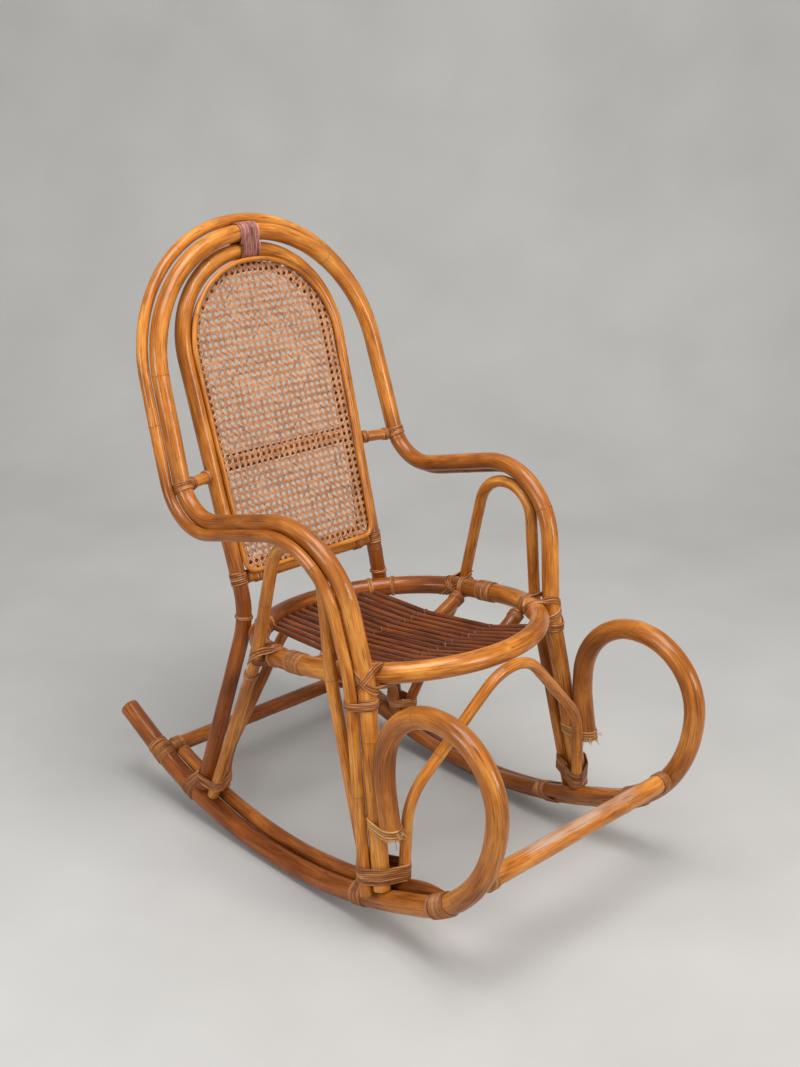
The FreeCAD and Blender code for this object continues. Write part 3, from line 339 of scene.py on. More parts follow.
def pole_line(node, radius):
    """Centre line of a round bent pole, read from its mesh: each vertex less the radius along its
    normal is a point of the line, and the way along the mesh puts the points in order."""
    points, triangles = merged(NODES[node].data)
    ends, normal = end_faces(points, triangles, radius)
    sides = triangles[~ends]
    side_normal = normal[~ends]
    blended = np.zeros_like(points)
    for corner in range(3):
        here = points[sides[:, corner]]
        one = points[sides[:, (corner + 1) % 3]] - here
        two = points[sides[:, (corner + 2) % 3]] - here
        cosine = np.einsum("ij,ij->i", one, two) / (np.linalg.norm(one, axis=1) * np.linalg.norm(two, axis=1))
        angle = np.arccos(np.clip(cosine, -1, 1))
        np.add.at(blended, sides[:, corner], side_normal * angle[:, None])
    blended /= np.maximum(np.linalg.norm(blended, axis=1), 1e-12)[:, None]
    centre = points - blended * radius
    edges = {}
    for triangle in sides:
        for corner in range(3):
            pair = (int(triangle[corner]), int(triangle[(corner + 1) % 3]))
            key = (min(pair), max(pair))
            edges[key] = edges.get(key, 0) + 1
    links = {}
    for one, two in edges:
        length = float(np.linalg.norm(centre[one] - centre[two]))
        links.setdefault(one, []).append((two, length))
        links.setdefault(two, []).append((one, length))
    if node in CLOSED_POLES:
        return round_the_middle(centre[sorted(links)])
    rim = sorted({index for pair, count in edges.items() if count == 1 for index in pair})
    start = [index for index in rim if np.linalg.norm(centre[index] - centre[rim[0]]) < radius]
    walked = {}
    queue = [(0.0, index) for index in start]
    heapq.heapify(queue)
    while queue:
        length, index = heapq.heappop(queue)
        if index in walked:
            continue
        walked[index] = length
        for other, step in links[index]:
            if other in walked:
                continue
            heapq.heappush(queue, (length + step, other))
    order = sorted(walked, key=walked.get)
    return gathered(centre[order])


CORNER_EASINGS = 2


def evened(line, step, closed=False):
    """The same line with points an even step apart, its corners eased."""
    if closed:
        line = np.vstack((line, line[:1]))
    reach = lengths_along(line)
    count = max(2, int(round(reach[-1] / step)))
    made = read_along(np.linspace(0.0, reach[-1], count + 1), reach, line)
    for _ in range(CORNER_EASINGS):
        if closed:
            ring = made[:-1]
            eased = 0.25 * np.roll(ring, 1, axis=0) + 0.5 * ring + 0.25 * np.roll(ring, -1, axis=0)
            made = np.vstack((eased, eased[:1]))
        else:
            made[1:-1] = 0.25 * made[:-2] + 0.5 * made[1:-1] + 0.25 * made[2:]
    return made


def frames_along(line):
    """Directions, two normals that turn as little as they can, and the length so far."""
    ahead = unit(np.gradient(line, axis=0))
    first = np.cross(ahead[0], (0.0, 0.0, 1.0))
    if np.linalg.norm(first) < 0.1:
        first = np.cross(ahead[0], (1.0, 0.0, 0.0))
    normals = [unit(first)]
    for direction in ahead[1:]:
        normals.append(unit(normals[-1] - direction * np.dot(normals[-1], direction)))
    normals = np.array(normals)
    return ahead, normals, np.cross(ahead, normals), lengths_along(line)


def nearest_index(line, spot):
    """Place in a line of its point nearest to a spot."""
    return np.argmin(np.linalg.norm(line - spot, axis=1))


def way_at(line, index):
    """Direction of a line at one of its points."""
    return unit(line[min(index + 2, len(line) - 1)] - line[max(index - 2, 0)])


def tube_faces(first, rings, around, closed=False):
    """Faces between rings of vertices that follow each other, and the two end faces of an open tube."""
    faces = []
    for ring in range(rings if closed else rings - 1):
        here = first + ring * around
        after = first + (ring + 1) % rings * around
        for part in range(around):
            beside = (part + 1) % around
            faces.append((here + part, here + beside, after + beside, after + part))
    if not closed:
        faces.append(tuple(range(first + around - 1, first - 1, -1)))
        faces.append(tuple(range(first + (rings - 1) * around, first + rings * around)))
    return faces


def new_object(name, vertices, faces, materials, face_material=None):
    """A smooth mesh object, in the row frame."""
    mesh = bpy.data.meshes.new(name)
    mesh.from_pydata([tuple(v) for v in vertices], [], [tuple(f) for f in faces])
    for material in materials:
        mesh.materials.append(material)
    if face_material is not None:
        mesh.polygons.foreach_set("material_index", np.asarray(face_material, dtype=np.int32))
    mesh.polygons.foreach_set("use_smooth", np.full(len(faces), True))
    mesh.update()
    made = bpy.data.objects.new(name, mesh)
    bpy.context.scene.collection.objects.link(made)
    return made


def paint(made, name, kind, values):
    """Gives each vertex of a piece a value that its material reads."""
    layer = made.data.attributes.new(name, kind, "POINT")
    field = "vector" if kind == "FLOAT_VECTOR" else "value"
    layer.data.foreach_set(field, np.asarray(values, dtype=np.float32).ravel())


def dress(made, node):
    """Puts a finished piece in the place of its node."""
    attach(made, "root")
    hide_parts(node)


def ease(value, low, high):
    """0 below low, 1 above high, smooth between."""
    share = np.clip((np.asarray(value) - low) / (high - low), 0.0, 1.0)
    return share * share * (3 - 2 * share)


# How brown a pole is, from 0, amber, to 1, red-brown, on poles that are even from end to end. The poles below
# the seat are darker partly from a red-brown stain and partly as painted shade; the cane rail and cane frame
# are darkened as painted shade.
EVEN_TONES = {
    "left_inner_rocker": 0.9,
    "right_inner_rocker": 0.9,
    "rear_stretcher": 0.9,
    "rear_crossbar": 0.9,
    "front_crossbar": 0.9,
    "cane_rail": 0.9,
    "cane_frame": 0.9,
    "rear_arch": 0.75,
}
PALE_TONE = 0.12
ARM_HEIGHT = 0.6


def tone_of(node, spots):
    """How brown each spot of a pole is, from 0, amber, to 1, red-brown. The rear of the rockers and the legs
    below the seat are darker, partly from stain and partly as painted shade; the rear of the seat ring and of
    the side poles are darker as painted shade; the hoop is darker around arm height.
    """
    y, z = spots[:, 1], spots[:, 2]
    # The rear of each rocker, under the seat, is darker: partly stain, partly painted shade
    if node in ("left_rocker", "right_rocker"):
        return 0.4 + 0.6 * ease(y, -0.34, -0.1)
    # The legs below the seat are darker: partly stain, partly painted shade
    if node == "back_arch":
        return 0.1 + 0.9 * ease(-z, -0.56, -0.4)
    # The rear of the ring is darker: painted shade
    if node == "seat_ring":
        return 0.05 + 0.9 * ease(y, -0.1, 0.1)
    # The rear of each side pole is darker: painted shade
    if node in ("left_side_pole", "right_side_pole"):
        return 0.1 + 0.35 * ease(y, 0.0, 0.15)
    if node in ("outer_hoop", "hoop_follower"):
        return 0.08 + 0.62 * ease(-np.abs(z - ARM_HEIGHT), -0.09, -0.02)
    return np.full(len(spots), EVEN_TONES.get(node, PALE_TONE))


# The inner rocker poles are shaved thin at the front, and the tongue goes under the curl's binding
SHAVED_POLES = {"left_inner_rocker": "left_rocker", "right_inner_rocker": "right_rocker"}
TONGUE_LENGTH = 60 * MM
TONGUE_THINNER = 0.62
TONGUE_GAP = 3 * MM

# The bar behind the cane is broad: three rows of holes are dark in front of it, where the bar's darkened
# colour is painted shade.
CANE_RAIL_WIDER = 0.6


def with_tongue(line, rocker, rocker_radius):
    """A line made longer at its front end, so that it bends in to the rocker beside it."""
    if line[0, 1] < line[-1, 1]:
        line = line[::-1]
    start = line[-1]
    way = unit(start - line[-4])
    ahead = start + way * TONGUE_LENGTH
    beside = rocker[nearest_index(rocker, ahead)]
    target = beside + unit(ahead - beside) * (rocker_radius + TONGUE_GAP)
    share = np.linspace(0, 1, 11)[1:, None]
    straight = start + way * TONGUE_LENGTH * share
    return np.vstack((line, straight + (target - ahead) * share * share))


# Rattan grows in lengths with a node between them: a low swell with a sharp ridge and a dark ring on it
RING_STEP = 6.0 * MM
FIRST_KNOT = (0.08, 0.4)
KNOT_SPACING = (0.3, 0.55)
KNOT_END_GAP = 0.02
# Rings of vertices round a node, in millimetres from it
KNOT_RINGS = (-5, -2.4, -1.2, -0.6, 0, 0.6, 1.2, 2.4, 5)
SWELL_HEIGHT = 0.25 * MM
SWELL_REACH = 9 * MM
RIDGE_HEIGHT = 0.3 * MM
RIDGE_REACH = 1.1 * MM
DARK_RING_REACH = 1.2 * MM
SWELL_LIMIT = 0.5 * MM
FULL_SWELL_DIAMETER = 24
# The skin keeps this far inside the solid, wanders by this much, and breaks at a sawn edge
SKIN_INSET = 0.1 * MM
WANDER = 0.12 * MM
WANDER_PER_METRE = 37
WANDER_FADE = 0.03
EDGE_BREAK = 1.6 * MM
EDGE_SHARE = 0.18
# Sides of a pole's section for diameters above each limit, in millimetres
SIDES_ABOVE = ((24, 22), (10, 16), (0, 10))


def bell(gap, reach):
    """1 at no gap, falling away to nothing within about two reaches."""
    return np.exp(-(gap / reach) ** 2)


def rattan_pole(node, diameter, material, seed):
    """One pole as a smooth round skin along its own centre line, with the slight swell and ridge of
    each node, sizes that wander a little, and sawn ends with a broken edge."""
    radius = diameter * MM / 2
    closed = node in CLOSED_POLES
    line = evened(pole_line(node, radius), RING_STEP, closed)
    if node in SHAVED_POLES:
        line = with_tongue(line, LINES[SHAVED_POLES[node]], POLES[SHAVED_POLES[node]] * MM / 2)
    _, normals, sides_to, reach = frames_along(line)
    length = reach[-1]
    rng = np.random.default_rng(seed)
    knots = []
    spot = rng.uniform(*FIRST_KNOT)
    while spot < length - KNOT_END_GAP:
        knots.append(spot)
        spot += rng.uniform(*KNOT_SPACING)
    stops = list(np.arange(0.0, length, RING_STEP)) + [length]
    if closed:
        stops = stops[:-1]
    for knot in knots:
        stops += [knot + part * MM for part in KNOT_RINGS]
    edge = min(EDGE_BREAK, radius * EDGE_SHARE)
    if not closed:
        stops += [edge, edge * 0.4, length - edge, length - edge * 0.4]
    stops = np.unique(np.clip(np.round(np.array(stops), 6), 0.0, length))
    spots, normal, side = (read_along(stops, reach, values) for values in (line, normals, sides_to))
    swell = np.zeros(len(stops))
    ring_mark = np.zeros(len(stops))
    for knot in knots:
        gap = stops - knot
        swell += SWELL_HEIGHT * bell(gap, SWELL_REACH) + RIDGE_HEIGHT * bell(gap, RIDGE_REACH)
        ring_mark += bell(gap, DARK_RING_REACH)
    fade = ease(stops, 0, WANDER_FADE) * ease(length - stops, 0, WANDER_FADE)
    wander = WANDER * np.sin(stops * WANDER_PER_METRE + seed) * fade
    fullness = min(1.0, diameter / FULL_SWELL_DIAMETER)
    radii = radius - SKIN_INSET + np.minimum(swell, SWELL_LIMIT) * fullness + wander
    if node in SHAVED_POLES:
        radii *= 1 - TONGUE_THINNER * ease(stops, length - TONGUE_LENGTH * 1.4, length)
    end_gap = np.minimum(stops, length - stops)
    if not closed:
        radii -= np.where(end_gap < edge, (1 - end_gap / edge) ** 2 * edge, 0.0)
    around = next(sides for limit, sides in SIDES_ABOVE if diameter > limit)
    vertices = []
    pole_place = []
    if node == "cane_rail":
        arch = LINES["back_arch"]
        back_way = way_at(arch, nearest_index(arch, spots[0]))
    for spot, n, s, r, where in zip(spots, normal, side, radii, stops):
        for angle in np.arange(around) * 2 * math.pi / around:
            off = (n * math.cos(angle) + s * math.sin(angle)) * r
            if node == "cane_rail":
                off = off + back_way * np.dot(off, back_way) * CANE_RAIL_WIDER
            vertices.append(spot + off)
            # Each seed reads its own stretch of the grain
            pole_place.append((radius * math.cos(angle) + seed * 0.11, radius * math.sin(angle),
                               where + seed * 1.73))
    faces = tube_faces(0, len(stops), around, closed)
    face_material = np.zeros(len(faces))
    if not closed:
        face_material[-2:] = 1
    made = new_object("rattan_" + node, vertices, faces, [material, SAWN_END], face_material)
    repeated = np.repeat(np.arange(len(stops)), around)
    paint(made, "pole", "FLOAT_VECTOR", pole_place)
    paint(made, "knot", "FLOAT", ring_mark[repeated])
    # The tone holds the brown stain and, under the seat and at the rear, painted shade
    paint(made, "tone", "FLOAT", tone_of(node, spots)[repeated])
    worn = np.zeros(len(vertices))
    if node == "foot_rail":
        up = (np.array(vertices)[:, 2] - spots[repeated][:, 2]) / radius
        worn = ease(up, 0.25, 0.9) * ease(end_gap[repeated], 0.02, 0.12)
    paint(made, "wear", "FLOAT", worn)
    return made, spots


LINES = {}
for number, (node, diameter) in enumerate(POLES.items()):
    piece, LINES[node] = rattan_pole(node, diameter, AMBER_RATTAN, number + 1)
    dress(piece, node)
for number, node in enumerate(SLATS):
    piece, LINES[node] = rattan_pole(node, SLAT_DIAMETER, DARK_RATTAN, number + 40)
    dress(piece, node)


def separate_solids(points, triangles):
    """The triangles of each solid of a group."""
    parent = np.arange(len(points))

    def top(index):
        while parent[index] != index:
            parent[index] = parent[parent[index]]
            index = parent[index]
        return index

    for a, b, c in triangles:
        parent[top(b)] = top(a)
        parent[top(c)] = top(a)
    roots = np.array([top(t[0]) for t in triangles])
    return [triangles[roots == root] for root in sorted(set(roots.tolist()))]


def convex_outline(flat_points):
    """Convex hull of points in a plane, anticlockwise."""
    ordered = sorted(set(map(tuple, np.round(flat_points, 6))))

    def half(run):
        kept = []
        for point in run:
            while len(kept) > 1:
                (ax, ay), (bx, by) = kept[-2], kept[-1]
                if (bx - ax) * (point[1] - ay) - (by - ay) * (point[0] - ax) > 0:
                    break
                kept.pop()
            kept.append(point)
        return kept[:-1]

    return np.array(half(ordered) + half(ordered[::-1]))


# Section of a flat cane strip: across its width from -1 to 1, and up through its thickness
STRIP_SECTION = ((-1.0, 0.0), (-0.88, 0.5), (-0.5, 0.9), (0.0, 1.05), (0.5, 0.9), (0.88, 0.5), (1.0, 0.0))


def new_store():
    """An empty set of strips that will be one mesh."""
    return {"vertices": [], "faces": [], "strand": []}


def add_strip(store, line, outward, sideways, half_width, thickness, turn, seed, closed=False):
    """One flat strip of cane: its crown follows the line and its back lies a thickness deeper."""
    store["faces"] += tube_faces(len(store["vertices"]), len(line), len(STRIP_SECTION), closed)
    reach = lengths_along(line)
    for i in range(len(line)):
        for across, up in STRIP_SECTION:
            spot = line[i] + outward[i] * (up - 1.0) * thickness + sideways[i] * across * half_width
            store["vertices"].append(spot)
            store["strand"].append((across * half_width + seed * 0.013, reach[i] + seed * 0.31,
                                    turn[i] + seed))


def strips_piece(name, store, material):
    """The mesh of a set of strips."""
    piece = new_object(name, store["vertices"], store["faces"], [material])
    paint(piece, "strand", "FLOAT_VECTOR", store["strand"])
    return piece


def tucked(count):
    """How deep a strip's two ends go under, as a share of its thickness."""
    steps = np.arange(count)
    return np.maximum(1 - steps / 4.0, 0) + np.maximum(1 - (count - 1 - steps) / 4.0, 0)


STRIP_THICKNESS = 2.2 * MM
# Half of a strip's width as a share of its pitch, in a winding and in a lashing
WINDING_SHARE = 0.43
LASHING_SHARE = 0.44
# How deep the tucked ends lie, as a share of the thickness
TUCK_DEPTH = 1.1
TURN_STEPS = 28
# How often the tilt of a lashed strand is eased from pole to pole
TILT_EASINGS = 4
# An end face of a band has more triangles than this
BAND_END_TRIANGLES = 6


def flat_axes(axis):
    """Two directions square to an axis and to each other."""
    first = np.cross(axis, (0.0, 0.0, 1.0))
    if np.linalg.norm(first) < 0.2:
        first = np.cross(axis, (1.0, 0.0, 0.0))
    first = unit(first)
    return first, np.cross(axis, first)


def wind_round(store, outline, axis, low, high, strip_width, seed):
    """One strip of cane wound side by side round a convex outline, from low to high along an axis.
    Both ends of the strip dip under to the wood."""
    first, second = flat_axes(axis)
    turns = max(2, int(round((high - low) / (strip_width * MM))))
    pitch = (high - low) / turns
    half_width = pitch * WINDING_SHARE
    loop = np.vstack((outline, outline[:1]))
    round_length = lengths_along(loop)
    per_turn = max(20, int(round_length[-1] / (5.0 * MM)))
    count = int(turns * per_turn) + 1
    rng = np.random.default_rng(seed)
    turn = np.arange(count) / per_turn
    spot = np.mod((turn + rng.uniform(0, 1)) * round_length[-1], round_length[-1])
    flat_x = np.interp(spot, round_length, loop[:, 0])
    flat_y = np.interp(spot, round_length, loop[:, 1])
    along_x, along_y = np.gradient(flat_x), np.gradient(flat_y)
    outward = unit(np.outer(along_y, first) - np.outer(along_x, second))
    climb = low + half_width + (high - low - 2 * half_width) * turn / turns
    climb = climb + 0.1 * pitch * np.sin(turn * 2 * math.pi + rng.uniform(0, 6))
    climb = np.clip(climb, low + half_width * 0.8, high - half_width * 0.8)
    line = np.outer(flat_x, first) + np.outer(flat_y, second) + np.outer(climb, axis)
    line = line - outward * (tucked(count) * STRIP_THICKNESS * TUCK_DEPTH)[:, None]
    add_strip(store, line, outward, np.tile(axis, (count, 1)), half_width, STRIP_THICKNESS,
              np.floor(turn), seed)


def wind_solid(store, points, triangles, strip_width, length, seed):
    """A winding over a band's solid: the solid's end faces give the axis and its hull the outline."""
    normal, area, flat, group = flat_groups(points, triangles)
    ends = flat > BAND_END_TRIANGLES
    largest = max(set(group[ends].tolist()), key=lambda g: (area[group == g].sum(), g))
    axis = normal[group == largest][0]
    used = points[np.unique(triangles)]
    first, second = flat_axes(axis)
    outline = convex_outline(np.column_stack((used @ first, used @ second)))
    heights = used @ axis
    middle = (heights.min() + heights.max()) / 2
    wind_round(store, outline, axis, middle - length * MM / 2, middle + length * MM / 2, strip_width, seed)


def lashing(store, poles, axis, middle, strands, strip_width, seed):
    """Strands side by side round poles that pass each other: a plane square to the axis cuts each
    pole, the strand lies tight round the cuts and flat on the pole that it is nearest to."""
    axis = unit(axis)
    first, second = flat_axes(axis)
    for strand in range(strands):
        here = middle + axis * (strand - (strands - 1) / 2) * strip_width * MM
        spots = []
        for spot, way, radius in poles:
            one, two = flat_axes(way)
            for angle in np.arange(TURN_STEPS) * 2 * math.pi / TURN_STEPS:
                point = spot + (one * math.cos(angle) + two * math.sin(angle)) * (radius + STRIP_THICKNESS)
                spots.append(point + way * np.dot(here - point, axis) / np.dot(way, axis))
        spots = np.array(spots)
        outline = convex_outline(np.column_stack((spots @ first, spots @ second)))
        corners = np.outer(outline[:, 0], first) + np.outer(outline[:, 1], second) + axis * (here @ axis)
        loop = evened(corners, 3.0 * MM, True)[:-1]
        ahead = unit(np.roll(loop, -1, axis=0) - np.roll(loop, 1, axis=0))
        radial = []
        for spot, way, radius in poles:
            off = loop - spot
            off = off - np.outer(off @ way, way)
            radial.append((np.linalg.norm(off, axis=1) - radius, off))
        nearest = np.argmin(np.array([gap for gap, off in radial]), axis=0)
        outward = np.array([radial[pole][1][place] for place, pole in enumerate(nearest)])
        for _ in range(TILT_EASINGS):
            outward = unit(outward)
            outward = np.roll(outward, 1, axis=0) + outward + np.roll(outward, -1, axis=0)
        outward = unit(outward - ahead * np.einsum("ij,ij->i", outward, ahead)[:, None])
        add_strip(store, loop, outward, np.cross(ahead, outward), strip_width * LASHING_SHARE * MM,
                  STRIP_THICKNESS, np.full(len(loop), strand), seed + strand, True)


def wind_pole(store, line, radius, start, end, strip_width, seed):
    """One strip of cane wound side by side round a pole, between two lengths along it."""
    ahead, normals, sides_to, reach = frames_along(line)
    turns = max(2, int(round((end - start) / (strip_width * MM))))
    half_width = (end - start) / turns * WINDING_SHARE
    count = turns * TURN_STEPS + 1
    turn = np.arange(count) / TURN_STEPS
    place = start + half_width + (end - start - 2 * half_width) * turn / turns
    spots, normal, side, sideways = (
        read_along(place, reach, values) for values in (line, normals, sides_to, ahead)
    )
    angle = turn * 2 * math.pi + seed
    outward = normal * np.cos(angle)[:, None] + side * np.sin(angle)[:, None]
    lift = radius + STRIP_THICKNESS * (1 - TUCK_DEPTH * tucked(count))
    add_strip(store, spots + outward * lift[:, None], outward, sideways, half_width, STRIP_THICKNESS,
              np.floor(turn), seed)


def smooth_loop(corners, steps):
    """A closed curve through its corners."""
    count = len(corners)
    loop = []
    for step in range(steps):
        place = step * count / steps
        k = int(place)
        t = place - k
        a, b, c, d = (corners[(k + shift) % count] for shift in (-1, 0, 1, 2))
        loop.append(0.5 * (2 * b + (c - a) * t + (2 * a - 5 * b + 4 * c - d) * t ** 2
                           + (3 * b - a - 3 * c + d) * t ** 3))
    return np.array(loop)


def strap(store, corners, one, two, width, thickness, seed, steps):
    """A closed loop of cane round two poles, whose axes pass through the points one and two."""
    loop = smooth_loop(np.array(corners), steps)
    ahead = unit(np.roll(loop, -1, axis=0) - np.roll(loop, 1, axis=0))
    across = two - one
    share = np.clip((loop - one) @ across / np.dot(across, across), 0.0, 1.0)
    outward = loop - (one + share[:, None] * across)
    outward = unit(outward - ahead * np.einsum("ij,ij->i", outward, ahead)[:, None])
    add_strip(store, loop, outward, np.cross(ahead, outward), width / 2, thickness,
              np.zeros(steps), seed, True)


def nearest_points(first, second):
    """Places in two lines where they come nearest to each other."""
    gaps = np.linalg.norm(first[:, None, :] - second[None, :, :], axis=2)
    return np.unravel_index(np.argmin(gaps), gaps.shape)


def pole_at(node, spot):
    """The point of a pole's line nearest to a spot, its direction there and the pole's radius."""
    line = LINES[node]
    index = nearest_index(line, spot)
    return line[index], way_at(line, index), POLES[node] * MM / 2


# A winding stays this far from the end of its pole
END_MARGIN = 1.0 * MM


def wind_near(store, pole, spot, shift, length, strip_width, seed):
    """A short winding on a pole near a spot: its middle lies shift along the pole from there."""
    line = LINES[pole]
    reach = lengths_along(line)
    middle = reach[nearest_index(line, spot)] + shift
    start = max(middle - length / 2, END_MARGIN)
    end = min(middle + length / 2, reach[-1] - END_MARGIN)
    wind_pole(store, line, POLES[pole] * MM / 2, start, end, strip_width, seed)


# Width of the strip and length of the winding for each group of bindings, in millimetres
BINDINGS = {
    "peg_bindings": (4.0, 14),
    "back_rail_bindings": (4.2, 27),
    "post_bindings": (4.0, 12),
    "side_pole_bindings": (4.2, 16),
    "ring_bindings": (4.0, 40),
    "crossbar_bindings": (4.2, 20),
    "stretcher_bindings": (4.4, 44),
    "foot_rail_bindings": (4.2, 22),
    "leg_bindings": (4.2, 17),
    "leg_foot_bindings": (4.2, 34),
    "rear_leg_bindings": (4.2, 22),
    "rocker_straps": (4.2, 30),
}
STORES = {}
for number, (node, (strip_width, length)) in enumerate(BINDINGS.items()):
    STORES[node] = new_store()
    points, triangles = merged(NODES[node].data)
    for part, solid in enumerate(separate_solids(points, triangles)):
        wind_solid(STORES[node], points, solid, strip_width, length, number * 20 + part)

# The curl bindings follow the bend of the rocker's toe
CURL_BINDING_LENGTH = 46 * MM
CANE_STRIP = 4.2
STORES["curl_bindings"] = new_store()
points, triangles = merged(NODES["curl_bindings"].data)
for side, pole in ((1, "left_rocker"), (-1, "right_rocker")):
    sleeve = points[points[:, 0] * side > 0]
    middle = (sleeve.min(axis=0) + sleeve.max(axis=0)) / 2
    wind_near(STORES["curl_bindings"], pole, middle, 0, CURL_BINDING_LENGTH, CANE_STRIP, 7 + side)


# The strand at the crown is drawn a little fuller than its solid
TOP_STRAND_DIAMETER = 3.0
TOP_STRAND_FULLER = 1.08
TOP_STRAND_STEP = 2.5 * MM


def wound_top(node):
    """The purple-brown binding at the crown, along the line of the wound strand of its node."""
    radius = TOP_STRAND_DIAMETER * MM / 2
    line = evened(pole_line(node, radius), TOP_STRAND_STEP)
    _, normals, sides_to, reach = frames_along(line)
    around = 10
    vertices, strand = [], []
    for i in range(len(line)):
        for part in range(around):
            angle = part * 2 * math.pi / around
            outward = normals[i] * math.cos(angle) + sides_to[i] * math.sin(angle)
            vertices.append(line[i] + outward * radius * TOP_STRAND_FULLER)
            strand.append((radius * angle, reach[i], reach[i] * 6))
    piece = new_object("cane_" + node, vertices, tube_faces(0, len(line), around), [TOP_BINDING])
    paint(piece, "strand", "FLOAT_VECTOR", strand)
    return piece


dress(wound_top("top_binding"), "top_binding")

# Chair cane in the seven-step weave: pairs upright, pairs across and two sets of slanting strands
WEAVE_PITCH = 12.7 * MM
PAIR_HALF = 1.35 * MM
STRAND_HALF_WIDTH = 1.3 * MM
SLANT_HALF_WIDTH = 1.4 * MM
STRAND_THICK = 0.7 * MM
WEAVE_RISE = 0.45 * MM
SLANT_RISE = WEAVE_RISE * 1.7
SHORTEST_STRAND = 3 * MM
# Section of a strand: across its half width, and up through its thickness
STRAND_SECTION = ((-1.0, -0.5), (-0.5, 0.5), (0.5, 0.5), (1.0, -0.5))


def clipped(start, direction, outline):
    """The two lengths along a line between which it lies inside a convex outline."""
    low, high = -1e9, 1e9
    for one, two in zip(outline, np.roll(outline, -1, axis=0)):
        inward = np.array((one[1] - two[1], two[0] - one[0]))
        slope = np.dot(inward, direction)
        gap = np.dot(inward, one - start)
        if abs(slope) < 1e-12:
            if gap > 0:
                return None
            continue
        if slope > 0:
            low = max(low, gap / slope)
        else:
            high = min(high, gap / slope)
    return (low, high) if high - low > SHORTEST_STRAND else None


def woven_panel(node):
    """The cane sheet strand by strand, in the plane of its node and inside its outline."""
    points, triangles = merged(NODES[node].data)
    normal, area, _, group = flat_groups(points, triangles)
    largest = max(set(group.tolist()), key=lambda g: (area[group == g].sum(), g))
    out = normal[group == largest][0]
    if out[1] > 0:
        out = -out
    across = np.array((1.0, 0.0, 0.0))
    up = np.cross(out, across)
    if up[2] < 0:
        up = -up
    middle = points.mean(axis=0)
    depth = (points @ out).mean()
    base = up * (middle @ up) + out * depth
    flat_points = np.column_stack((points @ across, points @ up - middle @ up))
    outline = convex_outline(flat_points)
    reach = np.abs(flat_points).max() * 1.5
    count = int(reach / WEAVE_PITCH) + 1
    strands = []
    pitch, half = WEAVE_PITCH, PAIR_HALF
    for k in range(-count, count + 1):
        for side in (-1, 1):
            levels = [(j * pitch + part * half, side * part * WEAVE_RISE) for j in range(-count, count + 1)
                      for part in (-1, 1)]
            levels += [((j + 0.5) * pitch, 0.0) for j in range(-count, count + 1)]
            levels.sort()
            strands.append(((k * pitch + side * half, 0.0), (0.0, 1.0), levels, STRAND_HALF_WIDTH))
            turned = [(place, -height) for place, height in levels]
            strands.append(((0.0, k * pitch + side * half), (1.0, 0.0), turned, STRAND_HALF_WIDTH))
    slant = 2 ** -0.5
    for k in range(-2 * count, 2 * count + 1):
        for lean in (-1, 1):
            levels = []
            for j in range(-2 * count, 2 * count + 1):
                for part in (-1, 1):
                    levels.append(((j * pitch + part * half) / slant, lean * SLANT_RISE))
                    levels.append((((j + 0.5) * pitch + part * half) / slant, -lean * SLANT_RISE))
            levels.sort()
            strands.append(((0.0, (k + 0.5) * pitch), (slant, lean * slant), levels, SLANT_HALF_WIDTH))
    vertices, faces, strand_place = [], [], []
    for number, (start, direction, levels, half_width) in enumerate(strands):
        start, direction = np.array(start), np.array(direction)
        ends = clipped(start, direction, outline)
        if ends is None:
            continue
        low, high = ends
        inside = [pair for pair in levels if low < pair[0] < high]
        if not inside:
            continue
        run = [(low, inside[0][1])] + inside + [(high, inside[-1][1])]
        sideways = np.array((-direction[1], direction[0]))
        first = len(vertices)
        for place, height in run:
            flat_spot = start + direction * place
            for share, rise in STRAND_SECTION:
                spot = flat_spot + sideways * share * half_width
                lift = out * (height + rise * STRAND_THICK)
                vertices.append(base + across * spot[0] + up * spot[1] + lift)
                strand_place.append((share * half_width + number * 0.017, place + number * 0.23,
                                     number * 1.37))
        faces += tube_faces(first, len(run), len(STRAND_SECTION))
    piece = new_object("woven_" + node, vertices, faces, [WOVEN_CANE])
    paint(piece, "strand", "FLOAT_VECTOR", strand_place)
    return piece


dress(woven_panel("cane_panel"), "cane_panel")


# Each slat is tied down on both crossbars by two turns of thin cane that cross over it
TIE_WIDTH = 3.0 * MM
TIE_THICKNESS = 1.2 * MM
TIE_STEPS = 28
TIE_SPREAD = 2 * MM
tie_store = new_store()
for bar in CROSSBARS:
    for number, slat in enumerate(SLATS):
        i, j = nearest_points(LINES[slat], LINES[bar])
        top, under = LINES[slat][i], LINES[bar][j]
        slat_way, bar_way = way_at(LINES[slat], i), way_at(LINES[bar], j)
        rise = unit(top - under - slat_way * np.dot(top - under, slat_way))
        wide = SLAT_DIAMETER * MM / 2 + TIE_WIDTH * 0.4
        deep = POLES[bar] * MM / 2 + TIE_WIDTH * 0.4
        for lean in (-1, 1):
            lay = slat_way * lean
            corners = [
                top + rise * wide,
                top + bar_way * wide * 0.9 + rise * wide * 0.3 + lay * TIE_SPREAD,
                under + bar_way * wide + lay * deep * 0.86 + rise * deep * 0.45,
                under + bar_way * wide * 0.5 + lay * deep * 0.9 - rise * deep * 0.55,
                under - rise * deep,
                under - bar_way * wide * 0.5 - lay * deep * 0.9 - rise * deep * 0.55,
                under - bar_way * wide - lay * deep * 0.86 + rise * deep * 0.45,
                top - bar_way * wide * 0.9 + rise * wide * 0.3 - lay * TIE_SPREAD,
            ]
            strap(tie_store, corners, top, under, TIE_WIDTH, TIE_THICKNESS, number * 2 + lean, TIE_STEPS)
piece = strips_piece("cane_slat_ties", tie_store, DARK_BINDING)
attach(piece, "root")

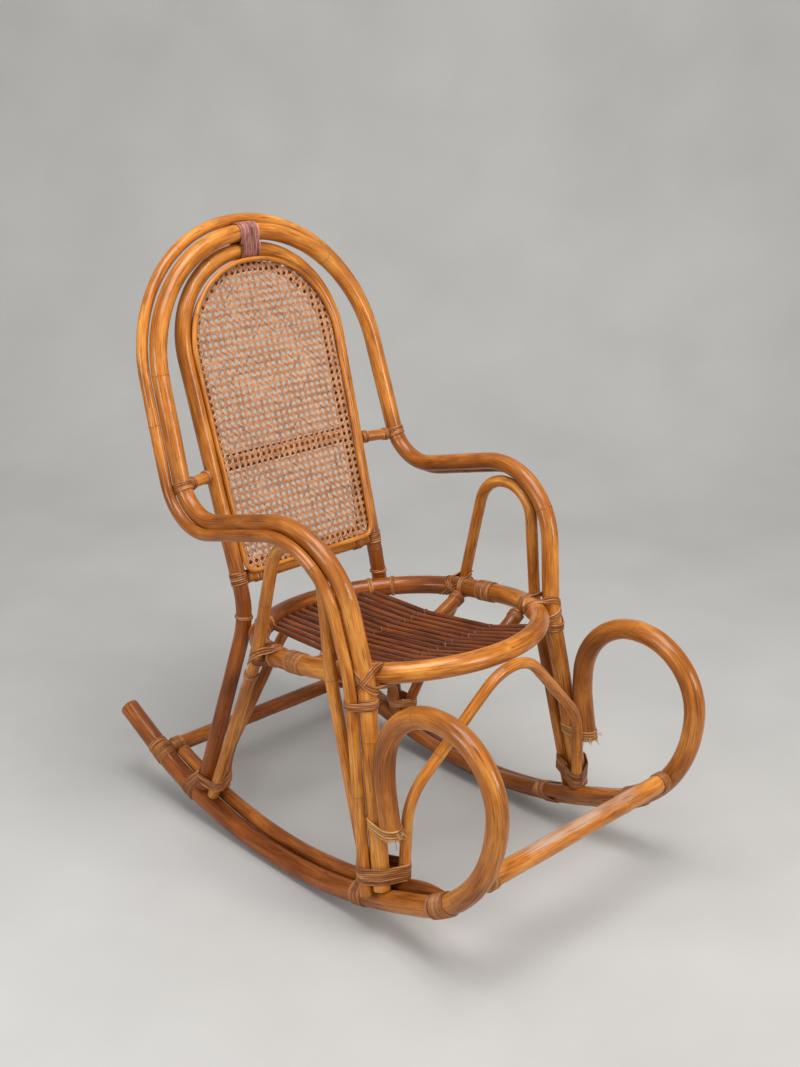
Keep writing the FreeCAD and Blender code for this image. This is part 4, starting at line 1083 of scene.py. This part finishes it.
# Where a pole passes the ring, three strands cross over three others
CROSSED_STRANDS = 3
CROSSED_STRIP = 3.8
ARM_UNDERSIDE = 0.55
LEG_WINDING_DROP = np.array((0, 0, 34 * MM))
POST_WINDING_RISE = np.array((0, 0, 21 * MM))
hoop, ring = LINES["outer_hoop"], LINES["seat_ring"]


def crossed_lashing(store, pole, stretch, seed):
    """Crossed strands where a stretch of a pole comes nearest to the ring, and the pole's point there."""
    i, j = nearest_points(stretch, ring)
    passing, rim = pole_at(pole, stretch[i]), pole_at("seat_ring", ring[j])
    for lean in (-1, 1):
        lashing(store, (passing, rim), passing[1] + lean * rim[1], (passing[0] + rim[0]) / 2,
                CROSSED_STRANDS, CROSSED_STRIP, seed + lean)
    return passing[0]


for side, side_name in ((-1, "right"), (1, "left")):
    lower = hoop[(hoop[:, 2] < ARM_UNDERSIDE) & (hoop[:, 0] * side > 0)]
    leg = crossed_lashing(STORES["leg_bindings"], "outer_hoop", lower, 60)
    wind_near(STORES["leg_bindings"], "outer_hoop", leg - LEG_WINDING_DROP, 0, 16 * MM, 4.0, 64 + side)
    loop = LINES[side_name + "_side_pole"]
    rear = loop[loop[:, 1] > loop[np.argmax(loop[:, 2]), 1]]
    crossed_lashing(STORES["side_pole_bindings"], side_name + "_side_pole", rear, 66)
    # Two strands round the post just above the ring
    arch = LINES["back_arch"]
    post = arch[arch[:, 0] * side > 0]
    i, j = nearest_points(post, ring)
    wind_near(STORES["post_bindings"], "back_arch", post[i] + POST_WINDING_RISE, 0, 9 * MM, CANE_STRIP,
              69 + side)

# The other half of each lashed joint: the cane goes on round the pole that the first one meets
for side, peg in ((1, "left_peg"), (-1, "right_peg")):
    ends = sorted((LINES[peg][0], LINES[peg][-1]), key=lambda spot: abs(spot[0]))
    wind_near(STORES["peg_bindings"], "outer_hoop", ends[1], 0, 20 * MM, 4.0, 71 + side)
for end, inward in ((0, 1), (-1, -1)):
    for pole, bindings, shift, seed in (("back_rail", "back_rail_bindings", 26 * MM, 81),
                                        ("rear_stretcher", "stretcher_bindings", 14 * MM, 85)):
        wind_near(STORES[bindings], pole, LINES[pole][end], inward * shift, 22 * MM, CANE_STRIP, seed + end)
    for number, bar in enumerate(CROSSBARS):
        wind_near(STORES["crossbar_bindings"], "seat_ring", LINES[bar][end], 0, 11 * MM, 3.7,
                  91 + number + 3 * end)
for node, store in STORES.items():
    dress(strips_piece("cane_" + node, store, CANE_BINDING), node)

# The end of each curl is tied to the leg by a pale, frayed band
CURL_BAND_HEIGHT = 0.19
RING_UNDERSIDE = 0.4
BAND_STRANDS = 4
BAND_STRIP = 4.4
LOOSE_FIBRES = 34
FIBRE_STEPS = 5
FIBRE_HALF_WIDTH = 0.6 * MM
FIBRE_THICKNESS = 0.5 * MM
frayed = new_store()
level = np.array((0.0, 0.0, 1.0))
for side, side_name in ((-1, "right"), (1, "left")):
    curl = LINES[side_name + "_rocker"]
    tip = min((curl[0], curl[-1]), key=lambda spot: spot[1])
    lower = hoop[(hoop[:, 2] < RING_UNDERSIDE) & (hoop[:, 0] * side > 0)]
    leg = pole_at("outer_hoop", lower[np.argmin(np.abs(lower[:, 2] - CURL_BAND_HEIGHT))])
    end = pole_at(side_name + "_rocker", tip)
    middle = np.array((leg[0][0], leg[0][1], CURL_BAND_HEIGHT))
    lashing(frayed, (leg, end), level, middle, BAND_STRANDS, BAND_STRIP, 96 + side)
    # Loose fibres that stand out of the band
    rng = np.random.default_rng(97 + side)
    for fibre in range(LOOSE_FIBRES):
        bearing = rng.uniform(0, 2 * math.pi)
        out = np.array((math.cos(bearing), math.sin(bearing), 0.0))
        root = end[0] * (1, 1, 0) + out * (end[2] + 1.2 * MM)
        root[2] = CURL_BAND_HEIGHT + rng.uniform(-5, 5) * MM
        reach = rng.uniform(7, 18) * MM
        fall = rng.uniform(-0.9, 0.2)
        share = np.linspace(0, 1, FIBRE_STEPS)[:, None]
        line = root + (out * 0.35 + level * fall) * reach * share + out * 0.2 * reach * share ** 2
        ahead = unit(np.gradient(line, axis=0))
        sideways = unit(np.cross(ahead, out))
        add_strip(frayed, line, np.cross(sideways, ahead), sideways, FIBRE_HALF_WIDTH, FIBRE_THICKNESS,
                  np.zeros(FIBRE_STEPS), fibre)
piece = strips_piece("frayed_curl_bands", frayed, FRAYED_CANE)
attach(piece, "root")


def matte_plaster(name, dark, light):
    """Floor and wall of the studio: pale matte plaster with a faint unevenness."""
    material, tree, shader = new_material(name, {"Roughness": 0.85})
    place = add_node(tree, "TexCoord")
    cloud = add_node(tree, "TexNoise", {"Scale": 3.0, "Detail": 4.0},
                     {"Vector": place.outputs["Object"]})
    tint = add_node(tree, "ValToRGB", {}, {"Fac": cloud.outputs["Fac"]},
                    [(0.3, dark), (0.7, light)])
    tree.links.new(tint.outputs["Color"], shader.inputs["Base Color"])
    return material


# Floor that rises behind the chair in one sweep, turned to face the camera; lengths in metres
FLOOR_HALF_WIDTH = 9.0
FLOOR_FRONT = -9.0
SWEEP_START = 1.6
SWEEP_RADIUS = 1.2
SWEEP_STEP_DEGREES = 7.5
WALL_TOP = 6.0
SWEEP_BEARING = math.radians(-44.4)
profile = [(FLOOR_FRONT, 0.0), (SWEEP_START, 0.0)]
for angle in np.radians(np.arange(SWEEP_STEP_DEGREES, 91, SWEEP_STEP_DEGREES)):
    profile.append((SWEEP_START + SWEEP_RADIUS * math.sin(angle),
                    SWEEP_RADIUS - SWEEP_RADIUS * math.cos(angle)))
profile.append((SWEEP_START + SWEEP_RADIUS, WALL_TOP))
sweep = []
for reach, height in profile:
    for width in (-FLOOR_HALF_WIDTH, FLOOR_HALF_WIDTH):
        sweep.append((width * math.cos(SWEEP_BEARING) - reach * math.sin(SWEEP_BEARING),
                      width * math.sin(SWEEP_BEARING) + reach * math.cos(SWEEP_BEARING), height))
sweep_faces = [(2 * i, 2 * i + 1, 2 * i + 3, 2 * i + 2) for i in range(len(profile) - 1)]
plaster = matte_plaster("studio_plaster", "#B4B3B1", "#BCBBB9")
floor = new_object("studio_sweep", sweep, sweep_faces, [plaster])


def soft_lamp(name, place, aim, size, power, colour):
    """A large square lamp."""
    lamp = bpy.data.lights.new(name, "AREA")
    lamp.shape = "SQUARE"
    lamp.size = size
    lamp.energy = power
    lamp.color = linear(colour)[:3]
    made = bpy.data.objects.new(name, lamp)
    made.location = place
    made.rotation_mode = "QUATERNION"
    made.rotation_quaternion = (Vector(aim) - Vector(place)).to_track_quat("-Z", "Y")
    bpy.context.scene.collection.objects.link(made)


CHAIR_MIDDLE = (0, 0, 0.5)
soft_lamp("sky_lamp", (-0.4, -0.6, 3.4), CHAIR_MIDDLE, 2.0, 96, "#FFFFFF")
soft_lamp("front_lamp", (0.6, -3.2, 1.7), CHAIR_MIDDLE, 1.1, 48, "#FFF8EE")
soft_lamp("side_lamp", (-3.0, 0.2, 1.5), CHAIR_MIDDLE, 1.1, 34, "#FFFFFF")
world = bpy.data.worlds.new("studio_air")
world.use_nodes = True
world.node_tree.nodes["Background"].inputs["Color"].default_value = linear("#F1F1F0")
world.node_tree.nodes["Background"].inputs["Strength"].default_value = 0.4
bpy.context.scene.world = world

# Camera where the photograph was taken from
eye = Vector((-1.6314, -1.672, 1.4153))
ahead = Vector((0.657, 0.670, -0.345)).normalized()
right = Vector((0.7176, -0.6963, 0.0140))
right = (right - ahead * right.dot(ahead)).normalized()
upward = right.cross(ahead)
camera_data = bpy.data.cameras.new("view")
camera_data.lens = 50
camera_data.sensor_fit = "VERTICAL"
camera_data.sensor_height = 36
camera_data.sensor_width = 36
camera = bpy.data.objects.new("view", camera_data)
camera.matrix_world = Matrix((
    (right.x, upward.x, -ahead.x, eye.x),
    (right.y, upward.y, -ahead.y, eye.y),
    (right.z, upward.z, -ahead.z, eye.z),
    (0, 0, 0, 1),
))
bpy.context.scene.collection.objects.link(camera)
bpy.context.scene.camera = camera
bpy.context.scene.view_settings.view_transform = "Standard"
